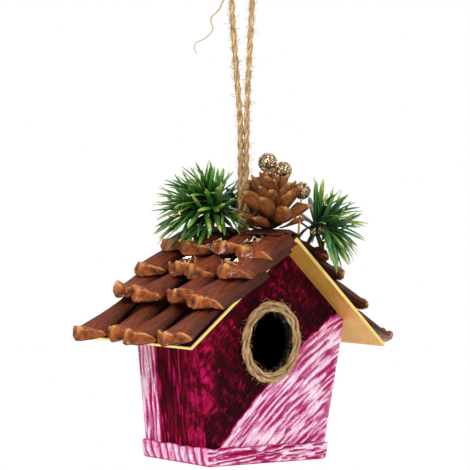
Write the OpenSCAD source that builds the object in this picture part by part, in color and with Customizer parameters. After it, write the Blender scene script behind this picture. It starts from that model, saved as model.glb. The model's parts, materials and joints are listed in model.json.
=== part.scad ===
// A hanging ornament: a velvet-covered card birdhouse with a roof of pine-cone scales.
// The origin is where a hook bears in the top of the twine loop. The front faces -Y and +Z is up.

/* [House] */
// Width of the front at the eaves, over the velvet
wall_top_w = 82; // [76:1:86]
// Width of the front at the base, over the velvet
wall_bottom_w = 63; // [58:1:68]
// Depth from the front velvet to the back velvet
body_depth = 37; // [35:1:40]
// Height at which the side walls meet the roof
wall_h = 56; // [54:1:58]
// Thickness of the card walls and floor
board_t = 2; // [1.6:0.1:2.4]
// Thickness of the velvet
velvet_t = 0.8; // [0.6:0.1:1]
// Height of the velvet band around the base
band_h = 7; // [5:0.5:9]
// Thickness of the velvet band
band_t = 0.9; // [0.6:0.1:1.2]

/* [Entrance] */
// Distance of the hole from the middle of the front
entrance_x = -2; // [-3:0.5:3]
// Height of the hole's centre above the base
entrance_z = 48; // [44:1:50]
// Radius of the hole
entrance_r = 12; // [10:0.5:12.5]
// Thickness of the twine that is glued round the hole
ring_d = 2.4; // [1.8:0.1:2.6]

/* [Roof] */
// Slope of each roof panel in degrees
roof_pitch = 38; // [37:0.5:39]
// Length of the ridge
roof_depth = 59; // [56:1:62]
// Width from eave to eave
eave_span = 107; // [104:1:110]
// Thickness of the card roof panels
panel_t = 1.4; // [1:0.1:1.5]
// Radius of the hole in the ridge for the twine
exit_r = 3; // [2.8:0.1:3.2]

/* [Scales] */
// Scales side by side in a row
scales_per_row = 4; // [2:1:4]
// Distance between the middles of two neighbours
scale_pitch = 15.4; // [15.4:0.1:15.8]
// Greatest width of a scale
scale_w = 14.4; // [12:0.1:14.4]
// Thickness of the flat part of a scale
scale_t = 1.5; // [1:0.1:1.5]
// Thickness of the swollen tip of a scale
scale_tip_t = 5; // [3.5:0.1:5]

/* [Twine] */
// Thickness of the hanging twine
twine_d = 2.3; // [2:0.1:2.4]
// Height of the stiff twisted foot of the twine above the ridge
neck_h = 7.5;

/* [Hidden] */
$fn = 64;
rows = 4;

// Walls: each side leans outwards, so its place depends on the height.
hem_t = 0.6;                                     // velvet turned under the floor
hem_w = 6;                                       // width of that hem
taper = (wall_top_w - wall_bottom_w) / 2 / wall_h;
lean = atan(taper);
slope = tan(roof_pitch);
apex_z = wall_h + wall_top_w / 2 * slope;
ridge_z = apex_z + panel_t / cos(roof_pitch);
board_in = velvet_t;                             // depth of a card wall's outer face below the velvet
room_in = velvet_t + board_t;                    // depth of its inner face

function side_x(z, inset) = wall_bottom_w / 2 + z * taper - inset / cos(lean);
function eave_z(inset) =
    (apex_z - (wall_bottom_w / 2 - inset / cos(lean)) * slope) / (1 + taper * slope);
function eave_point(inset) = [side_x(eave_z(inset), inset), eave_z(inset)];

// Scales: each row is [tip's distance down the slope, length, tilt off the panel, lift off the panel].
scale_rows = [[74.5, 33, 3.5, 0.05], [52.5, 33, 7.5, 0.05], [36, 30, 7.5, 0.05], [21.5, 21, 7.5, 1.35]];
function wobble(seed) = sin(seed * 137.5);       // a number from -1 to 1 that looks irregular

// Twine: it leaves the ridge at exit_y and pivots there, and the loop's top is up and to the left.
exit_y = 1;
pivot = [3.4, -3.3, -107];
house_at = pivot - [0, exit_y, 90];
swing_clear = tan(23);                           // how far the twine leans when the house swings
strand_gap = 1.2;                                // each strand's distance from the middle of the pair
strand_dir = [0.7, -0.7];
knot_at = [-3.1, 2.9, -9.5];                     // the loop's knot, round one strand
knot_r = 2.6;
stopper_z = 83.4;                                // the knot that holds the twine under the ridge
stopper_r = 3.6;
// The middle of the twine, from the top of the foot up one strand, over, and down the other.
twine_route = [
    [2.3, -2.2, -99], [2.2, -2.0, -94], [2.0, -1.9, -89], [1.8, -1.7, -84], [1.7, -1.6, -79],
    [1.5, -1.4, -74], [1.3, -1.2, -69], [1.1, -1.1, -64], [0.9, -0.9, -59], [0.5, -0.5, -53],
    [0.0, -0.0, -47], [-0.5, 0.5, -41], [-1.0, 1.0, -35], [-1.5, 1.5, -29], [-2.0, 2.0, -23],
    [-2.5, 2.4, -17], [-2.9, 2.8, -11], [-3.2, 3.1, -6], [-3.3, 3.2, -3.5], [-3.1, 3.0, -1.7],
    [-2.4, 2.3, -0.2], [-1.3, 1.3, 0.8], [0.0, 0.0, 1.15], [1.3, -1.3, 0.8], [2.4, -2.3, -0.2],
    [3.2, -3.1, -1.7], [3.4, -3.3, -3.5], [3.4, -3.4, -6], [3.3, -3.3, -11], [3.2, -3.2, -17],
    [3.2, -3.2, -23], [3.1, -3.1, -29], [3.1, -3.1, -35], [3.1, -3.0, -41], [3.0, -3.0, -47],
    [3.1, -3.0, -53], [3.2, -3.1, -59], [3.4, -3.3, -64], [3.5, -3.4, -69], [3.6, -3.6, -74],
    [3.7, -3.7, -79], [3.8, -3.8, -84], [3.9, -3.9, -89], [4.0, -4.0, -94], [4.1, -4.1, -99]];

// ---------- helpers ----------

// Draws a shape of x and z, t thick, from y towards -y.
module upright(y, t) translate([0, y, 0]) rotate([90, 0, 0]) linear_extrude(t) children();

module house() translate(house_at) children();

// The outline of a gable wall, from height z0 up to the roof.
module gable(z0, inset) {
    e = eave_point(inset);
    polygon([[-side_x(z0, inset), z0], [side_x(z0, inset), z0], e, [0, apex_z], [-e[0], e[1]]]);
}

module entrance_hole() translate([entrance_x, entrance_z]) circle(r = entrance_r);

// A slab of a side wall between two depths under the velvet's surface, length long in Y.
module side_slab(outer, inner, length)
    upright(length / 2, length)
        polygon([[side_x(hem_t, outer), hem_t], eave_point(outer), eave_point(inner), [side_x(hem_t, inner), hem_t]]);

// Points of a swept tube: a ring of sides points round each route point, across the route there.
function unit(v) = v / norm(v);
function heading(p, i) = unit(p[min(i + 1, len(p) - 1)] - p[max(i - 1, 0)]);
function across(d) = unit(cross(d, [0.7, 0.7, 0]));
function ring(p, i, r, sides) =
    let (d = heading(p, i), u = across(d), v = cross(d, u))
    [for (k = [0 : sides - 1]) p[i] + r * (cos(360 * k / sides) * u + sin(360 * k / sides) * v)];

module tube(route, d, sides = 8) {
    n = len(route);
    polyhedron(
        points = [for (i = [0 : n - 1]) each ring(route, i, d / 2, sides)],
        faces = concat(
            [[for (k = [0 : sides - 1]) k]],
            [for (i = [0 : n - 2], k = [0 : sides - 1])
                let (a = i * sides, b = (k + 1) % sides)
                [a + b, a + k, a + k + sides, a + b + sides]],
            [[for (k = [sides - 1 : -1 : 0]) (n - 1) * sides + k]]));
}

// A round rod between two points.
module rod(a, b, r) {
    v = b - a;
    translate(a) rotate([0, acos(v[2] / norm(v)), atan2(v[1], v[0])]) cylinder(r = r, h = norm(v), $fn = 24);
}

// ---------- card and velvet ----------

module front_wall() color("tan") house()
    upright(-body_depth / 2 + room_in, board_t) difference() { gable(hem_t, board_in); entrance_hole(); }

module back_wall() color("tan") house()
    upright(body_depth / 2 - board_in, board_t) gable(hem_t, board_in);

module right_wall() color("tan") house() side_slab(board_in, room_in, body_depth - 2 * room_in);

module left_wall() color("tan") house() mirror([1, 0, 0]) side_slab(board_in, room_in, body_depth - 2 * room_in);

module floor_panel() color("tan") house()
    upright(body_depth / 2 - room_in, body_depth - 2 * room_in)
        polygon([[-side_x(hem_t, room_in), hem_t], [side_x(hem_t, room_in), hem_t],
                 [side_x(hem_t + board_t, room_in), hem_t + board_t],
                 [-side_x(hem_t + board_t, room_in), hem_t + board_t]]);

module front_velvet() color("mediumvioletred") house()
    upright(-body_depth / 2 + velvet_t, velvet_t) difference() { gable(hem_t, 0); entrance_hole(); }

module back_velvet() color("mediumvioletred") house()
    upright(body_depth / 2, velvet_t) gable(hem_t, 0);

module right_velvet() color("mediumvioletred") house() side_slab(0, velvet_t, body_depth - 2 * velvet_t);

module left_velvet() color("mediumvioletred") house()
    mirror([1, 0, 0]) side_slab(0, velvet_t, body_depth - 2 * velvet_t);

// The outline of the lower body between two heights, inset from the velvet's surface.
module lower_body(z0, z1, inset)
    polygon([[-side_x(z0, inset), z0], [side_x(z0, inset), z0], [side_x(z1, inset), z1], [-side_x(z1, inset), z1]]);

module base_band() color("hotpink") house() difference() {
    upright(body_depth / 2 + band_t, body_depth + 2 * band_t) lower_body(0, band_h, -band_t);
    upright(body_depth / 2, body_depth) lower_body(hem_t, band_h + 1, 0);
    translate([-wall_bottom_w / 2 + hem_w, -body_depth / 2 + hem_w, -1])
        cube([wall_bottom_w - 2 * hem_w, body_depth - 2 * hem_w, 3]);
}

// ---------- entrance ----------

module twine_turn(radius)
    translate([entrance_x, -body_depth / 2 - ring_d / 2, entrance_z])
        rotate([90, 0, 0]) rotate_extrude($fn = 96) translate([radius, 0]) circle(d = ring_d, $fn = 32);

module entrance_ring_inner() color("peru") house() twine_turn(entrance_r + ring_d / 2 - 0.2);

module entrance_ring_outer() color("peru") house() twine_turn(entrance_r + ring_d * 3 / 2 - 0.18);

// ---------- roof ----------

module roof_panel() {
    rake = eave_span / 2 / cos(roof_pitch);
    down = [cos(roof_pitch), -sin(roof_pitch)];
    out = [sin(roof_pitch), cos(roof_pitch)];
    eave = [0, apex_z] + rake * down;
    difference() {
        upright(roof_depth / 2, roof_depth)
            polygon([[0, apex_z], eave, eave + panel_t * out, [0, ridge_z]]);
        translate([0, exit_y, apex_z - 10]) cylinder(r = exit_r, h = 20);
    }
}

module right_roof_panel() color("goldenrod") house() roof_panel();

module left_roof_panel() color("goldenrod") house() mirror([1, 0, 0]) roof_panel();

// One scale, lying along X from its base to its swollen tip, with a flat underside.
module cone_scale(length) {
    w = scale_w / 2;
    intersection() {
        linear_extrude(scale_tip_t + 1)
            polygon([[0, -0.45 * w], [0.45 * length, -0.78 * w], [0.74 * length, -w], [0.88 * length, -0.94 * w],
                     [length, -0.5 * w], [length, 0.5 * w], [0.88 * length, 0.94 * w], [0.74 * length, w],
                     [0.45 * length, 0.78 * w], [0, 0.45 * w]]);
        upright(w + 1, 2 * w + 2)
            polygon([[-1, 0], [0.97 * length, 0], [length, 0.8], [length, 0.6 * scale_tip_t],
                     [0.95 * length, scale_tip_t], [0.86 * length, scale_tip_t], [0.74 * length, 0.64 * scale_tip_t],
                     [0.52 * length, scale_t], [-1, 0.75 * scale_t]]);
    }
}

// The space that the twine sweeps when the house swings, which the ridge's trim and scales leave clear.
module twine_room()
    upright(exit_y + 4, 8)
        polygon([[-2.6, ridge_z - 1], [2.6, ridge_z - 1], [2.6 + 50 * swing_clear, ridge_z + 49],
                 [-2.6 - 50 * swing_clear, ridge_z + 49]]);

// A row of scales on the right panel, placed in the panel's own slope.
module scale_row(row, side) {
    spec = scale_rows[row - 1];
    difference() {
        for (i = [0 : scales_per_row - 1]) {
            seed = 10 * side + 4 * row + i;
            y = exit_y + (i - (scales_per_row - 1) / 2) * scale_pitch;
            tip = spec[0] + wobble(seed);
            translate([0, 0, apex_z]) rotate([0, roof_pitch, 0])
                translate([tip - spec[1], y, panel_t + spec[3]])
                    rotate([0, -spec[2], 0.8 * wobble(seed + 3)]) cone_scale(spec[1]);
        }
        if (row == rows) twine_room();
    }
}

module right_scales(row) color("saddlebrown") house() scale_row(row, 1);

module left_scales(row) color("saddlebrown") house() mirror([1, 0, 0]) scale_row(row, 2);

// ---------- ridge trim ----------

// A bed of glue astride the ridge, from y0 to y1.
module glue_bed(y0, y1)
    upright(y1, y1 - y0)
        polygon([[0, ridge_z + 0.3], [1.1, ridge_z - 0.5], [1.1, ridge_z + 2.9], [5.9, ridge_z + 0.2],
                 [6.5, ridge_z + 0.8], [5, ridge_z + 2.2], [0, ridge_z + 4.9], [-5, ridge_z + 2.2],
                 [-6.5, ridge_z + 0.8], [-5.9, ridge_z + 0.2], [-1.1, ridge_z + 2.9], [-1.1, ridge_z - 0.5]]);

module front_glue() color("antiquewhite") house() glue_bed(-28, -3.4);

module rear_glue() color("antiquewhite") house() glue_bed(5.4, 27);

// The room above the glue and the scales, between two places along the ridge.
module above_roof(y0, y1)
    upright(y1, y1 - y0)
        polygon([[0, ridge_z + 5.1], [9.2, ridge_z + 0.3], [21.5, ridge_z - 4.6], [25, ridge_z - 6.9],
                 [54, ridge_z - 29.6], [70, ridge_z - 29.6], [70, ridge_z + 50], [-70, ridge_z + 50],
                 [-70, ridge_z - 29.6], [-54, ridge_z - 29.6], [-25, ridge_z - 6.9], [-21.5, ridge_z - 4.6],
                 [-9.2, ridge_z + 0.3]]);

// A small cone standing on its stalk, with a stepped outline for its whorls.
module small_cone(r, h) {
    steps = 6;
    profile = [for (i = [0 : steps]) let (t = i / steps) [r * (0.35 + 0.65 * sin(180 * pow(t, 0.8))), h * t]];
    rotate_extrude($fn = 48)
        polygon(concat([[0, 0]],
                       [for (i = [0 : steps - 1]) each [profile[i], [profile[i][0] + 0.4, profile[i][1] + 0.6]]],
                       [[0.3 * r, h], [0, h]]));
}

front_cone_at = [0, -17.5, ridge_z + 5.4];
rear_cone_at = [13.5, 14.6, ridge_z + 2.4];
module front_cone() color("sienna") house() translate(front_cone_at) small_cone(9.6, 19);

module rear_cone() color("saddlebrown") house() translate(rear_cone_at) small_cone(8, 18.5);

// Each berry is [centre, radius, foot of its stem].
berries = [[[5.9, -7.5, ridge_z + 29.7], 3.8, [3, -4.6, ridge_z + 3.9]],
           [[8.3, -14, ridge_z + 26.7], 3.5, [6, -5, ridge_z + 2.2]],
           [[13, -20.4, ridge_z + 18.9], 3.4, [7.4, -22.8, ridge_z + 0.6]]];
berry_stem_r = 0.5;

// Each sprig is a stem and the room that its needles fill.
left_stem = [[-3, 13, ridge_z + 4.6], [-10, 12, ridge_z + 11]];
right_stem = [[13.5, -24.5, ridge_z + 0.6], [19, -28.5, ridge_z + 5.5]];
stem_r = 0.8;

// A ball of needles above the roof, cut off at two limits in X and two in Y, less the stem and the berries.
module needle_room(centre, r, x0, x1, y0, y1, stem)
    difference() {
        intersection() {
            translate(centre) sphere(r = r, $fn = 48);
            above_roof(y0, y1);
            translate([x0, y0, 0]) cube([x1 - x0, y1 - y0, 200]);
        }
        rod(stem[0] - 0.3 * (stem[1] - stem[0]), stem[1], stem_r + 0.02);
        for (b = berries) {
            translate(b[0]) sphere(r = b[1] + 0.1, $fn = 48);
            rod(b[0], b[2], berry_stem_r + 0.1);
        }
        twine_room();
    }

module left_sprig_stem() color("darkolivegreen") house() rod(left_stem[0], left_stem[1], stem_r);

module left_sprig_needles() color("forestgreen") house()
    needle_room([-9, 15, ridge_z + 7], 23, -40, 1.5, -7.6, 60, left_stem);

module right_sprig_stem() color("darkolivegreen") house() rod(right_stem[0], right_stem[1], stem_r);

module right_sprig_needles() color("forestgreen") house()
    needle_room([17, -28, ridge_z + 5], 15.5, 12.8, 60, -60, -3.4, right_stem);

module glitter_berries() color("gold") house()
    for (b = berries) translate(b[0]) sphere(r = b[1], $fn = 48);

module berry_stems() color("gold") house()
    for (b = berries) rod(b[0] + (b[1] + 0.05) * unit(b[2] - b[0]), b[2], berry_stem_r);

// ---------- twine ----------

module stopper_knot() color("burlywood") house() translate([0, exit_y, stopper_z]) sphere(r = stopper_r, $fn = 48);

// The foot of the pair of strands, which stands in the ridge's hole.
module twine_neck() color("burlywood") translate(pivot)
    for (s = [-1, 1])
        translate([s * strand_gap * strand_dir[0], s * strand_gap * strand_dir[1], 0])
            cylinder(d = twine_d, h = neck_h, $fn = 24);

module hanger_twine() color("burlywood") tube(twine_route, twine_d);

module hanger_knot() color("burlywood") translate(knot_at) sphere(r = knot_r, $fn = 32);

// ---------- drawing ----------

front_wall();
back_wall();
left_wall();
right_wall();
floor_panel();
front_velvet();
back_velvet();
left_velvet();
right_velvet();
base_band();
entrance_ring_inner();
entrance_ring_outer();
left_roof_panel();
right_roof_panel();
for (row = [1 : rows]) {
    left_scales(row);
    right_scales(row);
}
front_glue();
rear_glue();
front_cone();
rear_cone();
left_sprig_stem();
left_sprig_needles();
right_sprig_stem();
right_sprig_needles();
glitter_berries();
berry_stems();
stopper_knot();
twine_neck();
hanger_twine();
hanger_knot();
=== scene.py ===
"""A velvet birdhouse ornament that hangs from a loop of jute twine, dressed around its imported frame.

The house's own frame has its origin in the middle of the base, its front towards -Y and its ridge along Y.
Sizes are in millimetres in that frame, and a piece's points turn into the frame's metres when its mesh is made.
"""
from __future__ import annotations

import json
import logging
import math
from dataclasses import dataclass, field
from enum import Enum
from typing import Any, Iterable, Sequence

import bmesh
import bpy
import numpy as np
from mathutils import Euler, Matrix, Vector
from mathutils.bvhtree import BVHTree

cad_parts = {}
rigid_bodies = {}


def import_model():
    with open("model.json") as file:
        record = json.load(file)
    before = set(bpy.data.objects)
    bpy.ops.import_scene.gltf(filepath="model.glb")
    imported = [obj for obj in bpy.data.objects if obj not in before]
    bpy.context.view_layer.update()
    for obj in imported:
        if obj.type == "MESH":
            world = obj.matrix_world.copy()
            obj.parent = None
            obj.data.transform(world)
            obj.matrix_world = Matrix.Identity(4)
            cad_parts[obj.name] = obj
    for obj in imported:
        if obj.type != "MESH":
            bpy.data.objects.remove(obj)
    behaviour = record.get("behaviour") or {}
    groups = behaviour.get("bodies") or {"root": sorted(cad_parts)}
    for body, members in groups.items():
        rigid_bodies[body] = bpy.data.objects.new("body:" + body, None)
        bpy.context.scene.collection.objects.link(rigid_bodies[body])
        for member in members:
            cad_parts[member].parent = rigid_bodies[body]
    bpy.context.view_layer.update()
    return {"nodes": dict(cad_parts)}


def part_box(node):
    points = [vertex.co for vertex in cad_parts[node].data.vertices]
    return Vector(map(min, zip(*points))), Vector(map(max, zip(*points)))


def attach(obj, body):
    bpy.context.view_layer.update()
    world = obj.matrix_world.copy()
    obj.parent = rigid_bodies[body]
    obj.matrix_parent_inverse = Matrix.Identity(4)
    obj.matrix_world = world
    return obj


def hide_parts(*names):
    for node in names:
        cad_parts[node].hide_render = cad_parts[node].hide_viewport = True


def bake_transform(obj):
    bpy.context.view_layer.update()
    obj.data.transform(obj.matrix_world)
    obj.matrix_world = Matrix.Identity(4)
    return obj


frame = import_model()

log = logging.getLogger("birdhouse")
MM = 0.001
GOLDEN = math.pi * (3 - math.sqrt(5))
Array = np.ndarray
Object = bpy.types.Object
Material = bpy.types.Material
Socket = bpy.types.NodeSocket
Pair = tuple[float, float]
Triple = tuple[float, float, float]


class Body(Enum):
    """The moving bodies that a piece can ride on."""

    HANGER = "hanger"
    NECK = "neck"
    HOUSE = "house"


class Side(Enum):
    """The two roof slopes, each with the sign of its X."""

    LEFT = -1
    RIGHT = 1


# ---------- sizes that several sub-assemblies share ----------


@dataclass(frozen=True)
class House:
    """The walls' and roof's driving sizes, and where the house hangs."""

    top_w: float = 82.0
    bottom_w: float = 63.0
    depth: float = 37.0
    wall_h: float = 56.0
    pitch: float = math.radians(38)
    panel_t: float = 1.4
    hem_t: float = 0.6
    exit_y: float = 1.0
    swing: float = math.tan(math.radians(23))

    @property
    def taper(self) -> float:
        """How far a side wall moves outwards for each millimetre of height."""
        return (self.top_w - self.bottom_w) / 2 / self.wall_h

    @property
    def apex(self) -> float:
        """The height of the roof's underside at the ridge."""
        return self.wall_h + self.top_w / 2 * math.tan(self.pitch)

    @property
    def ridge(self) -> float:
        """The height of the roof panels' top at the ridge."""
        return self.apex + self.panel_t / math.cos(self.pitch)

    @property
    def origin(self) -> Array:
        """The middle of the base, in the frame's metres."""
        low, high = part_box("base_band")
        return np.array([(low.x + high.x) / 2, (low.y + high.y) / 2, low.z])

    def at(self, points: Any) -> Array:
        """Turns house millimetres into the frame's metres.

        Args:
            points: One point or many.

        Returns:
            The same points in the frame.
        """
        return np.asarray(points, float) * MM + self.origin

    def side_x(self, z: Array | float) -> Array | float:
        """The distance of a side's velvet from the middle at height z."""
        return self.bottom_w / 2 + z * self.taper

    def slope_frame(self, side: Side) -> Matrix:
        """A turn whose X runs down a slope, and whose Z leaves it.

        Args:
            side: The slope.

        Returns:
            A 3 by 3 matrix.
        """
        c, s, k = math.cos(self.pitch), math.sin(self.pitch), side.value
        return Matrix(((k * c, 0, k * s), (0, k, 0), (-s, 0, c)))

    def in_twine_room(self, points: Array, margin: float = 1.0) -> Array:
        """Which points are where the twine passes when the house swings.

        Args:
            points: Points in house millimetres.
            margin: Extra room on every side.

        Returns:
            A mask with one value a point.
        """
        height = np.maximum(points[:, 2] - self.ridge, 0)
        wide = np.abs(points[:, 0]) < 2.6 + margin + height * self.swing
        return wide & (np.abs(points[:, 1] - self.exit_y) < 3.0 + margin) & (points[:, 2] > self.ridge - 4)


HOUSE = House()


# ---------- shapes ----------


@dataclass
class Shape:
    """Points and faces in the making, with named values on the points."""

    points: Array
    faces: list[tuple[int, ...]]
    marks: dict[str, Array] = field(default_factory=dict)

    @staticmethod
    def joined(shapes: Sequence["Shape"]) -> "Shape":
        """Puts shapes together as one.

        Args:
            shapes: Shapes that all have the same marks.

        Returns:
            One shape.
        """
        starts = np.cumsum([0] + [len(s.points) for s in shapes])
        faces = [tuple(i + start for i in face) for s, start in zip(shapes, starts) for face in s.faces]
        marks = {k: np.concatenate([s.marks[k] for s in shapes]) for k in shapes[0].marks}
        return Shape(np.concatenate([s.points for s in shapes]), faces, marks)

    def mesh(self, name: str, smooth: bool = True) -> bpy.types.Mesh:
        """Makes a mesh, with its points as they are.

        Args:
            name: The mesh's name.
            smooth: Whether its faces are shaded smooth.

        Returns:
            The mesh, with its faces outwards.
        """
        mesh = bpy.data.meshes.new(name)
        mesh.from_pydata(self.points.tolist(), [], self.faces)
        for mark, values in self.marks.items():
            mesh.attributes.new(mark, "FLOAT", "POINT").data.foreach_set("value", values.astype(np.float32))
        mesh.polygons.foreach_set("use_smooth", [smooth] * len(mesh.polygons))
        mesh.update()
        return mesh

    def piece(self, name: str, smooth: bool = True) -> Object:
        """Makes a shown object whose millimetres are the house's.

        Args:
            name: The object's name.
            smooth: Whether its faces are shaded smooth.

        Returns:
            The object, at the frame's origin.
        """
        placed = Shape(HOUSE.at(self.points), self.faces, self.marks)
        return shown(name, placed.mesh(name, smooth))

    def in_metres(self) -> "Shape":
        """The shape with its millimetres turned into metres about the same origin."""
        return Shape(self.points * MM, self.faces, self.marks)

    def template(self, name: str, smooth: bool = True) -> Object:
        """Makes an unshown object of this shape about its own origin, to be repeated."""
        return bpy.data.objects.new(name, self.in_metres().mesh(name, smooth))


def shown(name: str, data: bpy.types.ID) -> Object:
    """Links a new object to the scene.

    Args:
        name: Its name.
        data: Its mesh, light or camera.

    Returns:
        The object.
    """
    obj = bpy.data.objects.new(name, data)
    bpy.context.scene.collection.objects.link(obj)
    return obj


def outwards(obj: Object) -> Object:
    """Turns the faces of an object's closed meshes outwards.

    Args:
        obj: The object.

    Returns:
        The same object.
    """
    work = bmesh.new()
    work.from_mesh(obj.data)
    bmesh.ops.recalc_face_normals(work, faces=work.faces)
    work.to_mesh(obj.data)
    work.free()
    return obj


def lattice(rows: int, columns: int, ring: bool = False) -> list[tuple[int, ...]]:
    """The faces between rows of points.

    Args:
        rows: The number of rows.
        columns: The number of points in each row.
        ring: Whether each row closes on itself.

    Returns:
        Four-sided faces.
    """
    last = columns if ring else columns - 1
    faces = []
    for near in range(0, (rows - 1) * columns, columns):
        far = near + columns
        for c in range(last):
            after = (c + 1) % columns
            faces.append((near + c, near + after, far + after, far + c))
    return faces


def capped(rows: int, columns: int) -> list[tuple[int, ...]]:
    """The faces of a closed tube of rings, with an end face at both ends.

    Args:
        rows: The number of rings.
        columns: The number of points in each ring.

    Returns:
        The faces.
    """
    first = tuple(reversed(range(columns)))
    last = tuple(range((rows - 1) * columns, rows * columns))
    return [first, *lattice(rows, columns, ring=True), last]


def smooth_path(route: Sequence[Sequence[float]], spans: int) -> Array:
    """A smooth line through all the points of a route.

    Args:
        route: The points.
        spans: How many steps there are between two of them.

    Returns:
        The line's points.
    """
    p = np.asarray(route, float)
    p = np.vstack([2 * p[0] - p[1], p, 2 * p[-1] - p[-2]])
    t = np.linspace(0, 1, spans, endpoint=False)[:, None]
    runs = [
        0.5 * (2 * b + (c - a) * t + (2 * a - 5 * b + 4 * c - d) * t**2 + (3 * b - a - 3 * c + d) * t**3)
        for a, b, c, d in zip(p[:-3], p[1:-2], p[2:-1], p[3:])
    ]
    return np.vstack([*runs, p[-2]])


def swept(path: Array, radii: Array | float, sides: int = 8) -> Shape:
    """A closed round tube along a path.

    Args:
        path: The middle line.
        radii: The tube's radius, or one for each point.
        sides: The number of points round it.

    Returns:
        The tube, with "along" from 0 to 1.
    """
    radii = np.broadcast_to(np.asarray(radii, float), len(path))
    ahead = np.gradient(path, axis=0)
    ahead /= np.linalg.norm(ahead, axis=1)[:, None]
    guide = np.array([0.37, 0.61, 0.7]) if abs(ahead[0, 2]) > 0.9 else np.array([0.1, 0.2, 0.97])
    u = np.cross(ahead, guide)
    u /= np.linalg.norm(u, axis=1)[:, None]
    v = np.cross(ahead, u)
    turn = round_turn(sides)
    rings = path[:, None] + radii[:, None, None] * (
        np.cos(turn)[None, :, None] * u[:, None] + np.sin(turn)[None, :, None] * v[:, None]
    )
    along = np.repeat(np.linspace(0, 1, len(path)), sides)
    return Shape(rings.reshape(-1, 3), capped(len(path), sides), {"along": along})


@dataclass(frozen=True)
class Grain:
    """Smooth random values from 0 to 1 over a plane, the same on every run."""

    seed: int

    def __call__(self, u: Array, v: Array) -> Array:
        """The value at each place.

        Args:
            u: First coordinates, where 1 is the size of a patch.
            v: Second coordinates.

        Returns:
            One value a place.
        """
        table = np.random.default_rng(self.seed).random((64, 64))
        i, j = np.floor(u).astype(int), np.floor(v).astype(int)
        f, g = u - i, v - j
        f, g = f * f * (3 - 2 * f), g * g * (3 - 2 * g)
        near = table[i % 64, j % 64] * (1 - f) + table[(i + 1) % 64, j % 64] * f
        far = table[i % 64, (j + 1) % 64] * (1 - f) + table[(i + 1) % 64, (j + 1) % 64] * f
        return near * (1 - g) + far * g


def ramp(value: Array, low: float, high: float) -> Array:
    """A smooth step from 0 at low to 1 at high."""
    t = np.clip((value - low) / (high - low), 0, 1)
    return t * t * (3 - 2 * t)


def round_turn(count: int) -> Array:
    """Even angles once round, from 0."""
    return np.linspace(0, 2 * math.pi, count, endpoint=False)


def bump(value: Array, middle: float, width: float) -> Array:
    """A smooth hump of height 1 about a middle."""
    return np.exp(-(((value - middle) / width) ** 2))


# ---------- geometry node recipes ----------


class Graph:
    """A node tree in the making, with one short call for each node."""

    def __init__(self, tree: bpy.types.NodeTree) -> None:
        """Starts on a tree."""
        self.tree = tree

    def add(self, kind: str, inputs: dict[Any, Any] | None = None, **settings: Any) -> bpy.types.Node:
        """Adds a node.

        Args:
            kind: The node's type.
            inputs: Values or sockets for its inputs, by name or number.
            **settings: Its own properties.

        Returns:
            The node.
        """
        node = self.tree.nodes.new(kind)
        for key, value in settings.items():
            setattr(node, key, value)
        for key, value in (inputs or {}).items():
            socket = self.socket(node.inputs, key)
            if isinstance(value, bpy.types.Node):
                value = self.out(value)
            if isinstance(value, Socket):
                self.tree.links.new(value, socket)
            else:
                socket.default_value = value
        return node

    @staticmethod
    def socket(sockets: Any, key: str | int) -> Socket:
        """The socket in use that has a name, or a place among those in use."""
        active = [s for s in sockets if s.enabled]
        return active[key] if isinstance(key, int) else next(s for s in active if s.name == key)

    def out(self, node: bpy.types.Node, key: str | int = 0) -> Socket:
        """An output of a node: the first one, unless it is named."""
        return self.socket(node.outputs, key)

    def math(self, operation: str, *values: Any) -> Socket:
        """The result of a Math node, whose type follows the tree's."""
        kind = "ShaderNodeMath"
        return self.out(self.add(kind, dict(enumerate(values)), operation=operation))

    def vector(self, operation: str, *values: Any) -> Socket:
        """The result of a Vector Math node."""
        return self.out(self.add("ShaderNodeVectorMath", dict(enumerate(values)), operation=operation))

    def spread(self, value: Any, low: Any, high: Any, start: Any = 0.0, end: Any = 1.0) -> Socket:
        """A value's place between start and end, moved to between low and high."""
        entries = {"Value": value, "From Min": start, "From Max": end, "To Min": low, "To Max": high}
        return self.out(self.add("ShaderNodeMapRange", entries))


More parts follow.
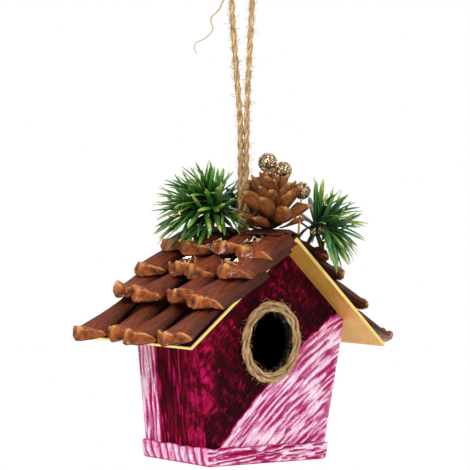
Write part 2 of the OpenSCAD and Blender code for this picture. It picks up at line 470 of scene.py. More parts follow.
class Recipe(Graph):
    """A geometry node tree with named inputs, which ends in Realize Instances and Set Material."""

    def __init__(self, name: str, **entries: tuple[str, Any]) -> None:
        """Starts a tree.

        Args:
            name: The tree's name.
            **entries: Each input's name, with underscores for spaces, and its (kind, default value).
        """
        super().__init__(bpy.data.node_groups.new(name, "GeometryNodeTree"))
        face = self.tree.interface
        face.new_socket("Geometry", in_out="INPUT", socket_type="NodeSocketGeometry")
        for key, (kind, value) in {**entries, "Finish": ("Material", None)}.items():
            socket = face.new_socket(key.replace("_", " "), in_out="INPUT", socket_type=f"NodeSocket{kind}")
            if value is not None:
                socket.default_value = value
        face.new_socket("Geometry", in_out="OUTPUT", socket_type="NodeSocketGeometry")
        self.given = self.tree.nodes.new("NodeGroupInput")
        self.result = self.tree.nodes.new("NodeGroupOutput")

    def entry(self, name: str) -> Socket:
        """One of the tree's own inputs."""
        return self.given.outputs[name]

    def chance(self, low: Any, high: Any, step: int, vector: bool = False) -> Socket:
        """Random values that depend on the input Seed.

        Args:
            low: The least value.
            high: The greatest value.
            step: A number that tells this draw from the tree's others.
            vector: Whether each value is a vector.

        Returns:
            The values.
        """
        seed = self.math("ADD", self.entry("Seed"), float(step))
        kind = "FLOAT_VECTOR" if vector else "FLOAT"
        entries = {"Min": low, "Max": high, "Seed": seed}
        return self.out(self.add("FunctionNodeRandomValue", entries, data_type=kind))

    def marked(self, geometry: Any, name: str, value: Any, domain: str = "POINT") -> Socket:
        """Stores a named number on a geometry's points or instances."""
        entries = {"Geometry": geometry, "Name": name, "Value": value}
        return self.out(self.add("GeometryNodeStoreNamedAttribute", entries, data_type="FLOAT", domain=domain))

    def read(self, name: str, kind: str) -> Socket:
        """The named values that the geometry has."""
        return self.out(self.add("GeometryNodeInputNamedAttribute", {"Name": name}, data_type=kind), "Attribute")

    def finish(self, geometry: Any) -> "Recipe":
        """Ends the tree.

        Args:
            geometry: What it has made.

        Returns:
            The recipe.
        """
        real = self.add("GeometryNodeRealizeInstances", {"Geometry": geometry})
        dressed = self.add("GeometryNodeSetMaterial", {"Geometry": real, "Material": self.entry("Finish")})
        self.tree.links.new(self.out(dressed), self.result.inputs[0])
        return self

    def grow(self, base: Object, name: str, finish: Material, **entries: Any) -> Object:
        """Runs the tree on an object and keeps what it makes as a plain mesh.

        Args:
            base: The object that the tree starts from, which is removed.
            name: The new object's name.
            finish: Its material.
            **entries: The tree's inputs, with underscores for spaces.

        Returns:
            The new object.
        """
        modifier = base.modifiers.new(name, "NODES")
        modifier.node_group = self.tree
        given = {**{k.replace("_", " "): v for k, v in entries.items()}, "Finish": finish}
        for item in self.tree.interface.items_tree:
            if item.in_out == "INPUT" and item.name in given:
                modifier[item.identifier] = given[item.name]
        graph = bpy.context.evaluated_depsgraph_get()
        mesh = bpy.data.meshes.new_from_object(base.evaluated_get(graph), depsgraph=graph)
        base.modifiers.remove(modifier)
        bpy.data.objects.remove(base)
        mesh.name = name
        if not mesh.materials:
            mesh.materials.append(finish)
        return shown(name, mesh)


def placed_recipe() -> Recipe:
    """Puts templates on points, as the points' own kind, turn and size say.

    Returns:
        The recipe.
    """
    r = Recipe("placed_pieces", Templates=("Collection", None))
    info = r.add(
        "GeometryNodeCollectionInfo",
        {"Collection": r.entry("Templates"), "Separate Children": True, "Reset Children": True},
    )
    entries = {
        "Points": r.entry("Geometry"),
        "Instance": info,
        "Pick Instance": True,
        "Instance Index": r.read("kind", "INT"),
        "Rotation": r.read("turn", "FLOAT_VECTOR"),
        "Scale": r.read("size", "FLOAT_VECTOR"),
    }
    return r.finish(r.add("GeometryNodeInstanceOnPoints", entries))


def scattered_recipe() -> Recipe:
    """Scatters one template over faces, standing on them, leaning and turned at random.

    Returns:
        The recipe.
    """
    r = Recipe(
        "scattered_pieces",
        Template=("Object", None),
        Density=("Float", 1.0),
        Smallest=("Float", 0.5),
        Largest=("Float", 1.0),
        Lean=("Float", 0.4),
        Seed=("Int", 0),
    )
    spots = r.add(
        "GeometryNodeDistributePointsOnFaces",
        {"Mesh": r.entry("Geometry"), "Density": r.entry("Density"), "Seed": r.entry("Seed")},
    )
    points = r.marked(r.out(spots, "Points"), "shade", r.chance(0.0, 1.0, 1))
    back = r.math("MULTIPLY", r.entry("Lean"), -1.0)
    low = r.out(r.add("ShaderNodeCombineXYZ", {"X": back, "Y": back, "Z": -math.pi}))
    high = r.out(r.add("ShaderNodeCombineXYZ", {"X": r.entry("Lean"), "Y": r.entry("Lean"), "Z": math.pi}))
    tipped = r.add(
        "FunctionNodeRotateRotation",
        {"Rotation": r.out(spots, "Rotation"), "Rotate By": r.chance(low, high, 2, vector=True)},
        rotation_space="LOCAL",
    )
    template = r.add("GeometryNodeObjectInfo", {"Object": r.entry("Template"), "As Instance": True})
    entries = {
        "Points": points,
        "Instance": r.out(template, "Geometry"),
        "Rotation": tipped,
        "Scale": r.chance(r.entry("Smallest"), r.entry("Largest"), 3),
    }
    return r.finish(r.add("GeometryNodeInstanceOnPoints", entries))


def strand_recipe() -> Recipe:
    """Lays plies of yarn round a path, twisted together.

    Returns:
        The recipe.
    """
    r = Recipe(
        "twisted_plies",
        Plies=("Int", 2),
        Turns=("Float", 10.0),
        Ply_Radius=("Float", 0.0006),
        Ply_Offset=("Float", 0.0005),
        Sides=("Int", 8),
    )
    path = r.add("GeometryNodeMeshToCurve", {0: r.entry("Geometry")})
    copies = r.add(
        "GeometryNodeDuplicateElements", {"Geometry": path, "Amount": r.entry("Plies")}, domain="SPLINE"
    )
    where = r.add("GeometryNodeSplineParameter")
    share = r.math("DIVIDE", r.out(copies, "Duplicate Index"), r.entry("Plies"))
    turns = r.math("MULTIPLY_ADD", r.out(where, "Factor"), r.entry("Turns"), share)
    angle = r.math("MULTIPLY", turns, 2 * math.pi)
    normal = r.out(r.add("GeometryNodeInputNormal"))
    ahead = r.out(r.add("GeometryNodeInputTangent"))
    across = r.vector("CROSS_PRODUCT", ahead, normal)
    shift = r.add("ShaderNodeVectorMath", {0: normal, "Scale": r.math("COSINE", angle)}, operation="SCALE")
    lift = r.add("ShaderNodeVectorMath", {0: across, "Scale": r.math("SINE", angle)}, operation="SCALE")
    reach = r.vector("ADD", r.out(shift), r.out(lift))
    offset = r.add("ShaderNodeVectorMath", {0: reach, "Scale": r.entry("Ply Offset")}, operation="SCALE")
    marked = r.marked(r.out(copies, "Geometry"), "along", r.out(where, "Length"))
    marked = r.marked(marked, "ply", r.out(copies, "Duplicate Index"))
    twisted = r.add("GeometryNodeSetPosition", {"Geometry": marked, "Offset": r.out(offset)})
    section = r.add(
        "GeometryNodeCurvePrimitiveCircle", {"Resolution": r.entry("Sides"), "Radius": r.entry("Ply Radius")}
    )
    rim = r.marked(section, "around", r.out(r.add("GeometryNodeSplineParameter"), "Factor"))
    tube = r.add(
        "GeometryNodeCurveToMesh", {"Curve": twisted, "Profile Curve": rim, "Fill Caps": True}
    )
    even = r.add("GeometryNodeSetShadeSmooth", {0: tube})
    return r.finish(even)


def whorl_recipe() -> Recipe:
    """Sets a cone's scales in a spiral that opens, swells and closes towards the top.

    Returns:
        The recipe.
    """
    r = Recipe(
        "cone_whorls",
        Template=("Object", None),
        Count=("Int", 40),
        Radius=("Float", 0.01),
        Height=("Float", 0.02),
        Open_Angle=("Float", -0.2),
        Shut_Angle=("Float", 1.3),
        Tilt=("Vector", (0.0, 0.0, 0.0)),
        Foot=("Vector", (0.0, 0.0, 0.0)),
        Seed=("Int", 0),
    )
    line = r.add("GeometryNodeMeshLine", {"Count": r.entry("Count")})
    place = r.out(r.add("GeometryNodeInputIndex"))
    t = r.math("DIVIDE", place, r.math("SUBTRACT", r.entry("Count"), 1.0))
    angle = r.math("MULTIPLY", place, GOLDEN)
    swell = r.math("SINE", r.math("MULTIPLY_ADD", r.math("POWER", t, 0.75), math.pi * 0.8, math.pi * 0.2))
    core = r.math("MULTIPLY", r.math("MULTIPLY_ADD", swell, 0.16, 0.06), r.entry("Radius"))
    spot = r.add(
        "ShaderNodeCombineXYZ",
        {
            "X": r.math("MULTIPLY", core, r.math("COSINE", angle)),
            "Y": r.math("MULTIPLY", core, r.math("SINE", angle)),
            "Z": r.math("MULTIPLY", r.spread(t, 0.1, 0.68), r.entry("Height")),
        },
    )
    points = r.add("GeometryNodeSetPosition", {"Geometry": line, "Position": r.out(spot)})
    shaded = r.marked(points, "shade", r.chance(0.0, 1.0, 1))
    rise = r.spread(r.math("POWER", t, 0.7), r.entry("Open Angle"), r.entry("Shut Angle"))
    lifted = r.math("ADD", rise, r.chance(-0.24, 0.24, 2))
    turn = r.add(
        "ShaderNodeCombineXYZ",
        {"X": r.chance(-0.55, 0.55, 3), "Y": r.math("MULTIPLY", lifted, -1.0), "Z": angle},
    )
    template = r.add("GeometryNodeObjectInfo", {"Object": r.entry("Template"), "As Instance": True})
    size = r.math("MULTIPLY", r.math("MULTIPLY_ADD", swell, 0.4, 0.62), r.chance(0.84, 1.14, 4))
    whorls = r.add(
        "GeometryNodeInstanceOnPoints",
        {"Points": shaded, "Instance": r.out(template, "Geometry"), "Rotation": r.out(turn), "Scale": size},
    )
    heart_r = r.math("MULTIPLY", r.entry("Radius"), 0.36)
    heart = r.add("GeometryNodeMeshUVSphere", {"Segments": 20, "Rings": 12, "Radius": heart_r})
    middle = r.add("ShaderNodeCombineXYZ", {"Z": r.math("MULTIPLY", r.entry("Height"), 0.42)})
    raised = r.add(
        "GeometryNodeTransform",
        {"Geometry": r.out(heart, "Mesh"), "Translation": r.out(middle), "Scale": (1, 1, 1.9)},
    )
    joined = r.add("GeometryNodeJoinGeometry")
    for part in (raised, whorls):
        r.tree.links.new(r.out(part), joined.inputs[0])
    stood = r.add(
        "GeometryNodeTransform",
        {"Geometry": joined, "Translation": r.entry("Foot"), "Rotation": r.entry("Tilt")},
    )
    return r.finish(stood)


@dataclass
class Places:
    """Points for the placed recipe: where each template goes, its kind, turn, size and shade."""

    spots: list[Sequence[float]] = field(default_factory=list)
    turns: list[Sequence[float]] = field(default_factory=list)
    sizes: list[Sequence[float]] = field(default_factory=list)
    kinds: list[int] = field(default_factory=list)
    shades: list[float] = field(default_factory=list)

    def add(self, spot: Any, turn: Matrix, size: Any, kind: int, shade: float) -> None:
        """Adds one place.

        Args:
            spot: Where it is, in house millimetres.
            turn: How the template is turned.
            size: Its size along each axis.
            kind: Which template it is.
            shade: Its own tone, from 0 to 1.
        """
        self.spots.append(spot)
        self.turns.append(tuple(turn.to_euler()))
        self.sizes.append(size)
        self.kinds.append(kind)
        self.shades.append(shade)

    def base(self, name: str) -> Object:
        """Makes the object of loose points that the recipe starts from.

        Args:
            name: The piece's name.

        Returns:
            The object.
        """
        mesh = bpy.data.meshes.new(name)
        mesh.from_pydata(HOUSE.at(self.spots).tolist(), [], [])
        for mark, values in (("turn", self.turns), ("size", self.sizes)):
            attribute = mesh.attributes.new(mark, "FLOAT_VECTOR", "POINT")
            attribute.data.foreach_set("vector", np.asarray(values, np.float32).ravel())
        mesh.attributes.new("kind", "INT", "POINT").data.foreach_set("value", self.kinds)
        mesh.attributes.new("shade", "FLOAT", "POINT").data.foreach_set("value", self.shades)
        return shown(f"{name}_places", mesh)


def collected(name: str, templates: Iterable[Object]) -> bpy.types.Collection:
    """Puts templates in a collection that the scene doesn't show.

    Args:
        name: The collection's name.
        templates: The templates, in the order of their kinds.

    Returns:
        The collection.
    """
    group = bpy.data.collections.new(name)
    for template in templates:
        group.objects.link(template)
    return group


# ---------- finishes ----------


def colour(code: str) -> tuple[float, float, float, float]:
    """A hex colour as the shader's linear values.

    Args:
        code: Six hex digits.

    Returns:
        Red, green, blue and alpha.
    """
    parts = [int(code[i : i + 2], 16) / 255 for i in (0, 2, 4)]
    linear = [c / 12.92 if c <= 0.04045 else ((c + 0.055) / 1.055) ** 2.4 for c in parts]
    return (*linear, 1.0)


class Paint(Graph):
    """A material in the making."""

    def __init__(self, name: str, **constants: Any) -> None:
        """Starts a material.

        Args:
            name: Its name.
            **constants: The shader's own values, with underscores for spaces.
        """
        self.material = bpy.data.materials.new(name)
        self.material.use_nodes = True
        super().__init__(self.material.node_tree)
        self.shader = self.tree.nodes["Principled BSDF"]
        for key, value in constants.items():
            self.shader.inputs[key.replace("_", " ")].default_value = value

    def mark(self, name: str) -> Socket:
        """The values that a mesh stores under a name."""
        return self.add("ShaderNodeAttribute", attribute_name=name).outputs["Fac"]

    def place(self) -> Socket:
        """A point's place on the piece."""
        return self.add("ShaderNodeTexCoord").outputs["Object"]

    def use(self, group: bpy.types.NodeTree, **entries: Any) -> Socket:
        """Places a shared effect.

        Args:
            group: The effect.
            **entries: Its inputs, with underscores for spaces.

        Returns:
            Its mask.
        """
        node = self.add("ShaderNodeGroup", node_tree=group)
        for key, value in entries.items():
            socket = node.inputs[key.replace("_", " ")]
            if isinstance(value, Socket):
                self.tree.links.new(value, socket)
            else:
                socket.default_value = value
        return node.outputs["Mask"]

    def blend(self, share: Any, first: Any, second: Any, mode: str = "MIX") -> Socket:
        """Mixes two colours."""
        entries = {"Factor": share, "A": first, "B": second}
        return self.out(self.add("ShaderNodeMix", entries, data_type="RGBA", blend_type=mode))

    def stops(self, value: Any, *stops: tuple[float, str]) -> Socket:
        """Colours a value.

        Args:
            value: The value.
            *stops: Places from 0 to 1, each with its hex colour.

        Returns:
            The colour.
        """
        node = self.add("ShaderNodeValToRGB", {"Fac": value})
        band = node.color_ramp.elements
        while len(band) < len(stops):
            band.new(0.5)
        for element, (position, code) in zip(band, stops):
            element.position = position
            element.color = colour(code)
        return node.outputs["Color"]

    def to(self, name: str, value: Socket) -> None:
        """Feeds one of the shader's inputs."""
        self.tree.links.new(value, self.shader.inputs[name])

    def relief(self, height: Any, depth: float, strength: float = 1.0) -> None:
        """Gives the surface a fine relief, depth in millimetres."""
        node = self.add("ShaderNodeBump", {"Strength": strength, "Distance": depth * MM, "Height": height})
        self.to("Normal", node.outputs["Normal"])


def shader_group(name: str, entries: dict[str, tuple[str, Any]], results: dict[str, str]) -> tuple[Graph, Any, Any]:
    """Starts a shared shader effect.

    Args:
        name: Its name.
        entries: Each input's (kind, default value).
        results: Each output's kind.

    Returns:
        The graph, its input node and its output node.
    """
    tree = bpy.data.node_groups.new(name, "ShaderNodeTree")
    for key, (kind, value) in entries.items():
        socket = tree.interface.new_socket(key, in_out="INPUT", socket_type=f"NodeSocket{kind}")
        if value is not None:
            socket.default_value = value
    for key, kind in results.items():
        tree.interface.new_socket(key, in_out="OUTPUT", socket_type=f"NodeSocket{kind}")
    return Graph(tree), tree.nodes.new("NodeGroupInput"), tree.nodes.new("NodeGroupOutput")


def fibre_grain() -> bpy.types.NodeTree:
    """Fine lines that run along one direction, as in paper, wood and yarn.

    Returns:
        The group, whose output is Mask.
    """
    entries = {"Vector": ("Vector", None), "Stretch": ("Vector", (1.0, 1.0, 1.0)), "Contrast": ("Float", 0.5)}
    g, given, result = shader_group("fibre_grain", entries, {"Mask": "Float"})
    stretched = g.vector("MULTIPLY", given.outputs["Vector"], given.outputs["Stretch"])
    fine = g.out(g.add("ShaderNodeTexNoise", {"Vector": stretched, "Scale": 1.0, "Detail": 4.0, "Roughness": 0.6}))
    low = g.math("SUBTRACT", 0.5, given.outputs["Contrast"])
    high = g.math("ADD", 0.5, given.outputs["Contrast"])
    even = g.spread(fine, low, high, 0.3, 0.7)
    g.tree.links.new(even, result.inputs["Mask"])
    return g.tree


def mottle() -> bpy.types.NodeTree:
    """Soft blotches with a little fine speckle in them.

    Returns:
        The group, whose output is Mask.
    """
    entries = {"Vector": ("Vector", None), "Scale": ("Float", 100.0), "Speckle": ("Float", 0.3)}
    g, given, result = shader_group("mottle", entries, {"Mask": "Float"})
    vector, scale = given.outputs["Vector"], given.outputs["Scale"]
    broad = g.out(g.add("ShaderNodeTexNoise", {"Vector": vector, "Scale": scale, "Detail": 3.0}))
    finer = g.math("MULTIPLY", scale, 6.0)
    dots = g.out(g.add("ShaderNodeTexNoise", {"Vector": vector, "Scale": finer, "Detail": 2.0}))
    fine = g.math("MULTIPLY", g.math("SUBTRACT", dots, 0.5), given.outputs["Speckle"])
    even = g.spread(g.math("ADD", broad, fine), 0.0, 1.0, 0.3, 0.7)
    g.tree.links.new(even, result.inputs["Mask"])
    return g.tree


FIBRE = fibre_grain()
MOTTLE = mottle()


@dataclass(frozen=True)
class CrushedVelvet:
    """Velvet whose colour goes from deep to pale with the way that its pile lies; its pale and bright tones are
    painted sheen, where the pile catches the light.
    """

    name: str = "crushed_velvet"
    pile_scale: float = 2300.0
    sparkle: float = 0.6
    hair_contrast: float = 0.26

    def material(self) -> Material:
        """Makes the finish.

        Returns:
            The material.
        """
        paint = Paint(
            self.name, Roughness=0.85, Specular_IOR_Level=0.06, Sheen_Weight=0.06, Sheen_Roughness=0.4,
            Sheen_Tint=colour("ff9cc8"),
        )
        place = paint.place()
        pile = paint.out(paint.add("ShaderNodeTexNoise", {"Vector": place, "Scale": self.pile_scale, "Detail": 2.0}))
        lie = paint.add("ShaderNodeCombineXYZ", {"X": paint.mark("run"), "Y": paint.mark("off")})
        hairs = paint.use(FIBRE, Vector=paint.out(lie), Stretch=(0.16, 1.5, 1), Contrast=0.5)
        nap = paint.math("MULTIPLY_ADD", paint.math("SUBTRACT", hairs, 0.55), self.hair_contrast, paint.mark("nap"))
        # The pile noise, scaled by sparkle, adds fine painted glints that grow with the sheen.
        grain = paint.math("MULTIPLY", paint.math("SUBTRACT", pile, 0.5), self.sparkle)
        # Tones up to about 0.36 are the velvet's own deep wine; the hot pink and the pale to near white stops are
        # painted sheen.
        tone = paint.stops(
            paint.math("MULTIPLY_ADD", grain, paint.spread(nap, 0.45, 1.0), nap), (0.0, "140004"), (0.2, "480012"),
            (0.36, "8c052c"), (0.46, "c80f68"), (0.56, "96245a"), (0.7, "c86496"), (0.85, "e4a2c2"), (1.0, "fdeaf3"),
        )
        paint.to("Base Color", tone)
        paint.relief(pile, 0.3, 0.7)
        return paint.material


@dataclass(frozen=True)
class GoldKraft:
    """Card faced with satin gold, with a painted pale highlight on its cut edges and its top face painted near black
    as shade between the scales.
    """

    name: str = "gold_kraft"

    def material(self) -> Material:
        """Makes the finish.

        Returns:
            The material.
        """
        paint = Paint(self.name, Metallic=0.25, Roughness=0.42, Specular_IOR_Level=0.5)
        place = paint.place()
        lines = paint.use(FIBRE, Vector=place, Stretch=(260, 1500, 260), Contrast=0.5)
        clouds = paint.use(MOTTLE, Vector=place, Scale=60, Speckle=0.4)
        body = paint.blend(lines, colour("d09434"), colour("f2c264"))
        cloudy = paint.blend(paint.math("MULTIPLY", clouds, 0.4), body, colour("b8741e"))
        # The edge mark paints a pale gold highlight on the cut edges.
        gilt = paint.blend(paint.mark("edge"), cloudy, colour("ffe488"))
        outer = paint.mark("outer")
        # The top face is painted near black brown: painted shade between and under the scales.
        painted_gap_shade = paint.blend(lines, colour("1a0a05"), colour("44200f"))
        paint.to("Base Color", paint.blend(outer, gilt, painted_gap_shade))
        paint.to("Metallic", paint.spread(outer, 0.25, 0.0))
        paint.to("Roughness", paint.spread(lines, 0.3, 0.5))
        paint.to("Specular IOR Level", paint.spread(outer, 0.5, 0.08))
        paint.relief(lines, 0.05, 0.5)
        return paint.material


@dataclass(frozen=True)
class WoodyScale:
    """A cone scale: a dull striated body with painted shade towards its sides and base, and a glossy, lumpy, orange
    tip with a painted highlight on its keel.
    """

    name: str
    # deep is the painted shade on the body and the dark mottle on the tip; keel is the painted highlight's colour.
    deep: str = "1a0805"
    body: str = "aa4f2c"
    skin: str = "6a2f0c"
    tip: str = "ae5a18"
    keel: str = "e0a05a"
    gloss: float = 0.45
    wear: float = 0.8

    def material(self) -> Material:
        """Makes the finish.

        Returns:
            The material.
        """
        paint = Paint(self.name, Specular_IOR_Level=0.2, Coat_Roughness=0.14, Coat_Tint=colour("ffe2c4"))
        place = paint.place()
        tip, keel, along = paint.mark("tip"), paint.mark("keel"), paint.mark("along")
        across = paint.add("ShaderNodeCombineXYZ", {"X": along, "Y": paint.mark("across"), "Z": paint.mark("shade")})
        lines = paint.use(FIBRE, Vector=paint.out(across), Stretch=(3, 30, 9), Contrast=0.6)
        blotch = paint.use(MOTTLE, Vector=place, Scale=420, Speckle=0.7)
        # Painted shade: the body darkens towards its sides and away from its tip, where the row above shades it.
        painted_side_shade = paint.spread(paint.math("ABSOLUTE", paint.mark("across")), 1.0, 0.35, 0.2, 0.5)
        ribs_and_painted_shade = paint.math("MULTIPLY", paint.spread(lines, 0.2, 1.0), painted_side_shade)
        lit = paint.math("MULTIPLY", ribs_and_painted_shade, paint.spread(along, 0.62, 1.0, 0.0, 0.7))
        wood = paint.blend(lit, colour(self.deep), colour(self.body))
        skin = paint.blend(blotch, colour(self.tip), colour(self.skin))
        rubbed = paint.math("MULTIPLY", paint.math("POWER", blotch, 4.0), self.wear)
        worn = paint.blend(rubbed, skin, colour(self.deep))
        both = paint.blend(tip, wood, worn)
        # The keel mark lays the painted highlight colour along the keel.
        paint.to("Base Color", paint.blend(keel, both, colour(self.keel)))
        paint.to("Roughness", paint.spread(tip, 0.4, 0.34))
        paint.to("Coat Weight", paint.math("MULTIPLY", tip, self.gloss))
        paint.relief(paint.math("ADD", paint.math("MULTIPLY", lines, 0.5), blotch), 0.35, 0.8)
        return paint.material


@dataclass(frozen=True)
class MouldedNeedle:
    """A glossy plastic needle, deep green at its foot and yellow green at its tip."""

    name: str = "moulded_needle"

    def material(self) -> Material:
        """Makes the finish.

        Returns:
            The material.
        """
        paint = Paint(self.name, Roughness=0.3, Specular_IOR_Level=0.6, Coat_Weight=0.5, Coat_Roughness=0.1)
        back = paint.math("SUBTRACT", paint.mark("along"), 0.18)
        along = paint.math("MULTIPLY_ADD", paint.mark("shade"), 0.36, back)
        tone = paint.stops(
            along, (0.0, "08210a"), (0.4, "14440f"), (0.75, "347a16"), (0.95, "7fae28"), (1.0, "b8c860")
        )
        streak = paint.use(MOTTLE, Vector=paint.place(), Scale=500, Speckle=0.5)
        paint.to("Base Color", paint.blend(paint.math("MULTIPLY", streak, 0.35), tone, colour("10330c")))
        paint.to("Roughness", paint.spread(streak, 0.26, 0.5))
        paint.relief(streak, 0.08, 0.4)
        return paint.material


@dataclass(frozen=True)
class JuteYarn:
    """Pale brown yarn with long fibres that run along each ply."""

    name: str = "jute_yarn"

    def material(self) -> Material:
        """Makes the finish.

        Returns:
            The material.
        """
        paint = Paint(self.name, Roughness=0.8, Specular_IOR_Level=0.25, Sheen_Weight=0.15, Sheen_Roughness=0.5)
        place = paint.add(
            "ShaderNodeCombineXYZ", {"X": paint.mark("along"), "Y": paint.mark("around"), "Z": paint.mark("ply")}
        )
        fibres = paint.use(FIBRE, Vector=paint.out(place), Stretch=(260, 11, 5), Contrast=0.7)
        blotch = paint.use(MOTTLE, Vector=paint.place(), Scale=200, Speckle=0.5)
        tone = paint.stops(fibres, (0.0, "6e4824"), (0.3, "bc8a50"), (0.72, "e2c088"), (1.0, "f8e6c0"))
        paint.to("Base Color", paint.blend(paint.math("MULTIPLY", blotch, 0.28), tone, colour("a67a44")))
        paint.relief(fibres, 0.25, 0.7)
        return paint.material


@dataclass(frozen=True)
class Spangle:
    """Small metallic flakes, each of its own shade."""

    name: str
    dark: str
    light: str
    roughness: float = 0.28

    def material(self) -> Material:
        """Makes the finish.

        Returns:
            The material.
        """
        paint = Paint(self.name, Metallic=0.92, Roughness=self.roughness)
        shade = paint.mark("shade")
        tone = paint.stops(shade, (0.0, self.dark), (0.45, self.light), (0.85, "fff3d2"), (1.0, "ffffff"))
        dull = paint.use(MOTTLE, Vector=paint.place(), Scale=900, Speckle=0.8)
        paint.to("Base Color", paint.blend(paint.math("MULTIPLY", dull, 0.25), tone, colour(self.dark)))
        paint.to("Roughness", paint.spread(dull, self.roughness - 0.1, self.roughness + 0.12))
        return paint.material


@dataclass(frozen=True)
class Plain:
    """A simple solid finish with fibre or blotch in its colour, for card, glue, wire and twig."""

    name: str
    light: str
    dark: str
    roughness: float = 0.7
    metallic: float = 0.0
    scale: float = 300.0
    depth: float = 0.1

    def material(self) -> Material:
        """Makes the finish.

        Returns:
            The material.
        """
        paint = Paint(self.name, Metallic=self.metallic, Roughness=self.roughness)
        mask = paint.use(MOTTLE, Vector=paint.place(), Scale=self.scale, Speckle=0.6)
        paint.to("Base Color", paint.blend(mask, colour(self.dark), colour(self.light)))
        paint.to("Roughness", paint.spread(mask, self.roughness - 0.08, self.roughness + 0.08))
        paint.relief(mask, self.depth, 0.6)
        return paint.material


class Workshop:
    """The finishes and recipes that the sub-assemblies share, each made once."""

    def __init__(self) -> None:
        """Makes them all."""
        self.velvet = CrushedVelvet().material()
        self.gold = GoldKraft().material()
        # In the scale finishes, keel is a painted highlight colour and deep serves as painted shade as well as dark
        # mottle.
        self.scale = WoodyScale("roof_scale").material()
        self.cone = WoodyScale(
            "cone_scale", deep="140804", body="4e2410", skin="6e3616", tip="a8652e", keel="dca870", gloss=0.05,
            wear=0.3,
        ).material()
        self.dark_cone = WoodyScale(
            "dark_cone_scale", deep="100704", body="2c140a", skin="3e1e10", tip="5a2e18", keel="80502c", gloss=0.1,
            wear=0.2,
        ).material()
        self.needle = MouldedNeedle().material()
        self.jute = JuteYarn().material()
        self.glitter = Spangle("champagne_glitter", "4a3212", "c9a466").material()
        self.foil = Spangle("gold_foil", "b08434", "f4d684", 0.26).material()
        # The card is near black: painted shade for the dim inside of the house, seen through the hole.
        self.card = Plain("dark_card", "140c08", "070403").material()
        # The glue is dark amber brown, painted shade so that it reads as the shadowed scales beside it.
        self.glue = Plain("amber_glue", "5e2f18", "260f08", 0.45, scale=240, depth=0.5).material()
        self.wire = Plain("gilt_wire", "e2bd6e", "a07a30", 0.3, 0.8).material()
        self.twig = Plain("twig", "6a5a2a", "33240f", 0.7, depth=0.3).material()
        self.bud = Plain("bud", "e0be92", "a87c4c", 0.6).material()
        self.placed = placed_recipe()
        self.scattered = scattered_recipe()
        self.strand = strand_recipe()
        self.whorl = whorl_recipe()


def kept(piece: Object, slot: str, *nodes: str, body: Body = Body.HOUSE) -> Object:
    """Puts a finished piece on its body.

    Args:
        piece: The piece.
        slot: The record's material slot; not used.
        *nodes: The CAD nodes that it stands for.
        body: The body that it rides on.

    Returns:
        The piece.
    """
    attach(piece, body.value)
    if nodes:
        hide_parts(*nodes)
    log.info("%s: %d faces", piece.name, len(piece.data.polygons))
    return piece


def dressed(piece: Object, finish: Material) -> Object:
    """Gives a piece one finish.

    Args:
        piece: The piece.
        finish: Its material.

    Returns:
        The same piece.
    """
    piece.data.materials.clear()
    piece.data.materials.append(finish)
    return piece


# ---------- studio ----------


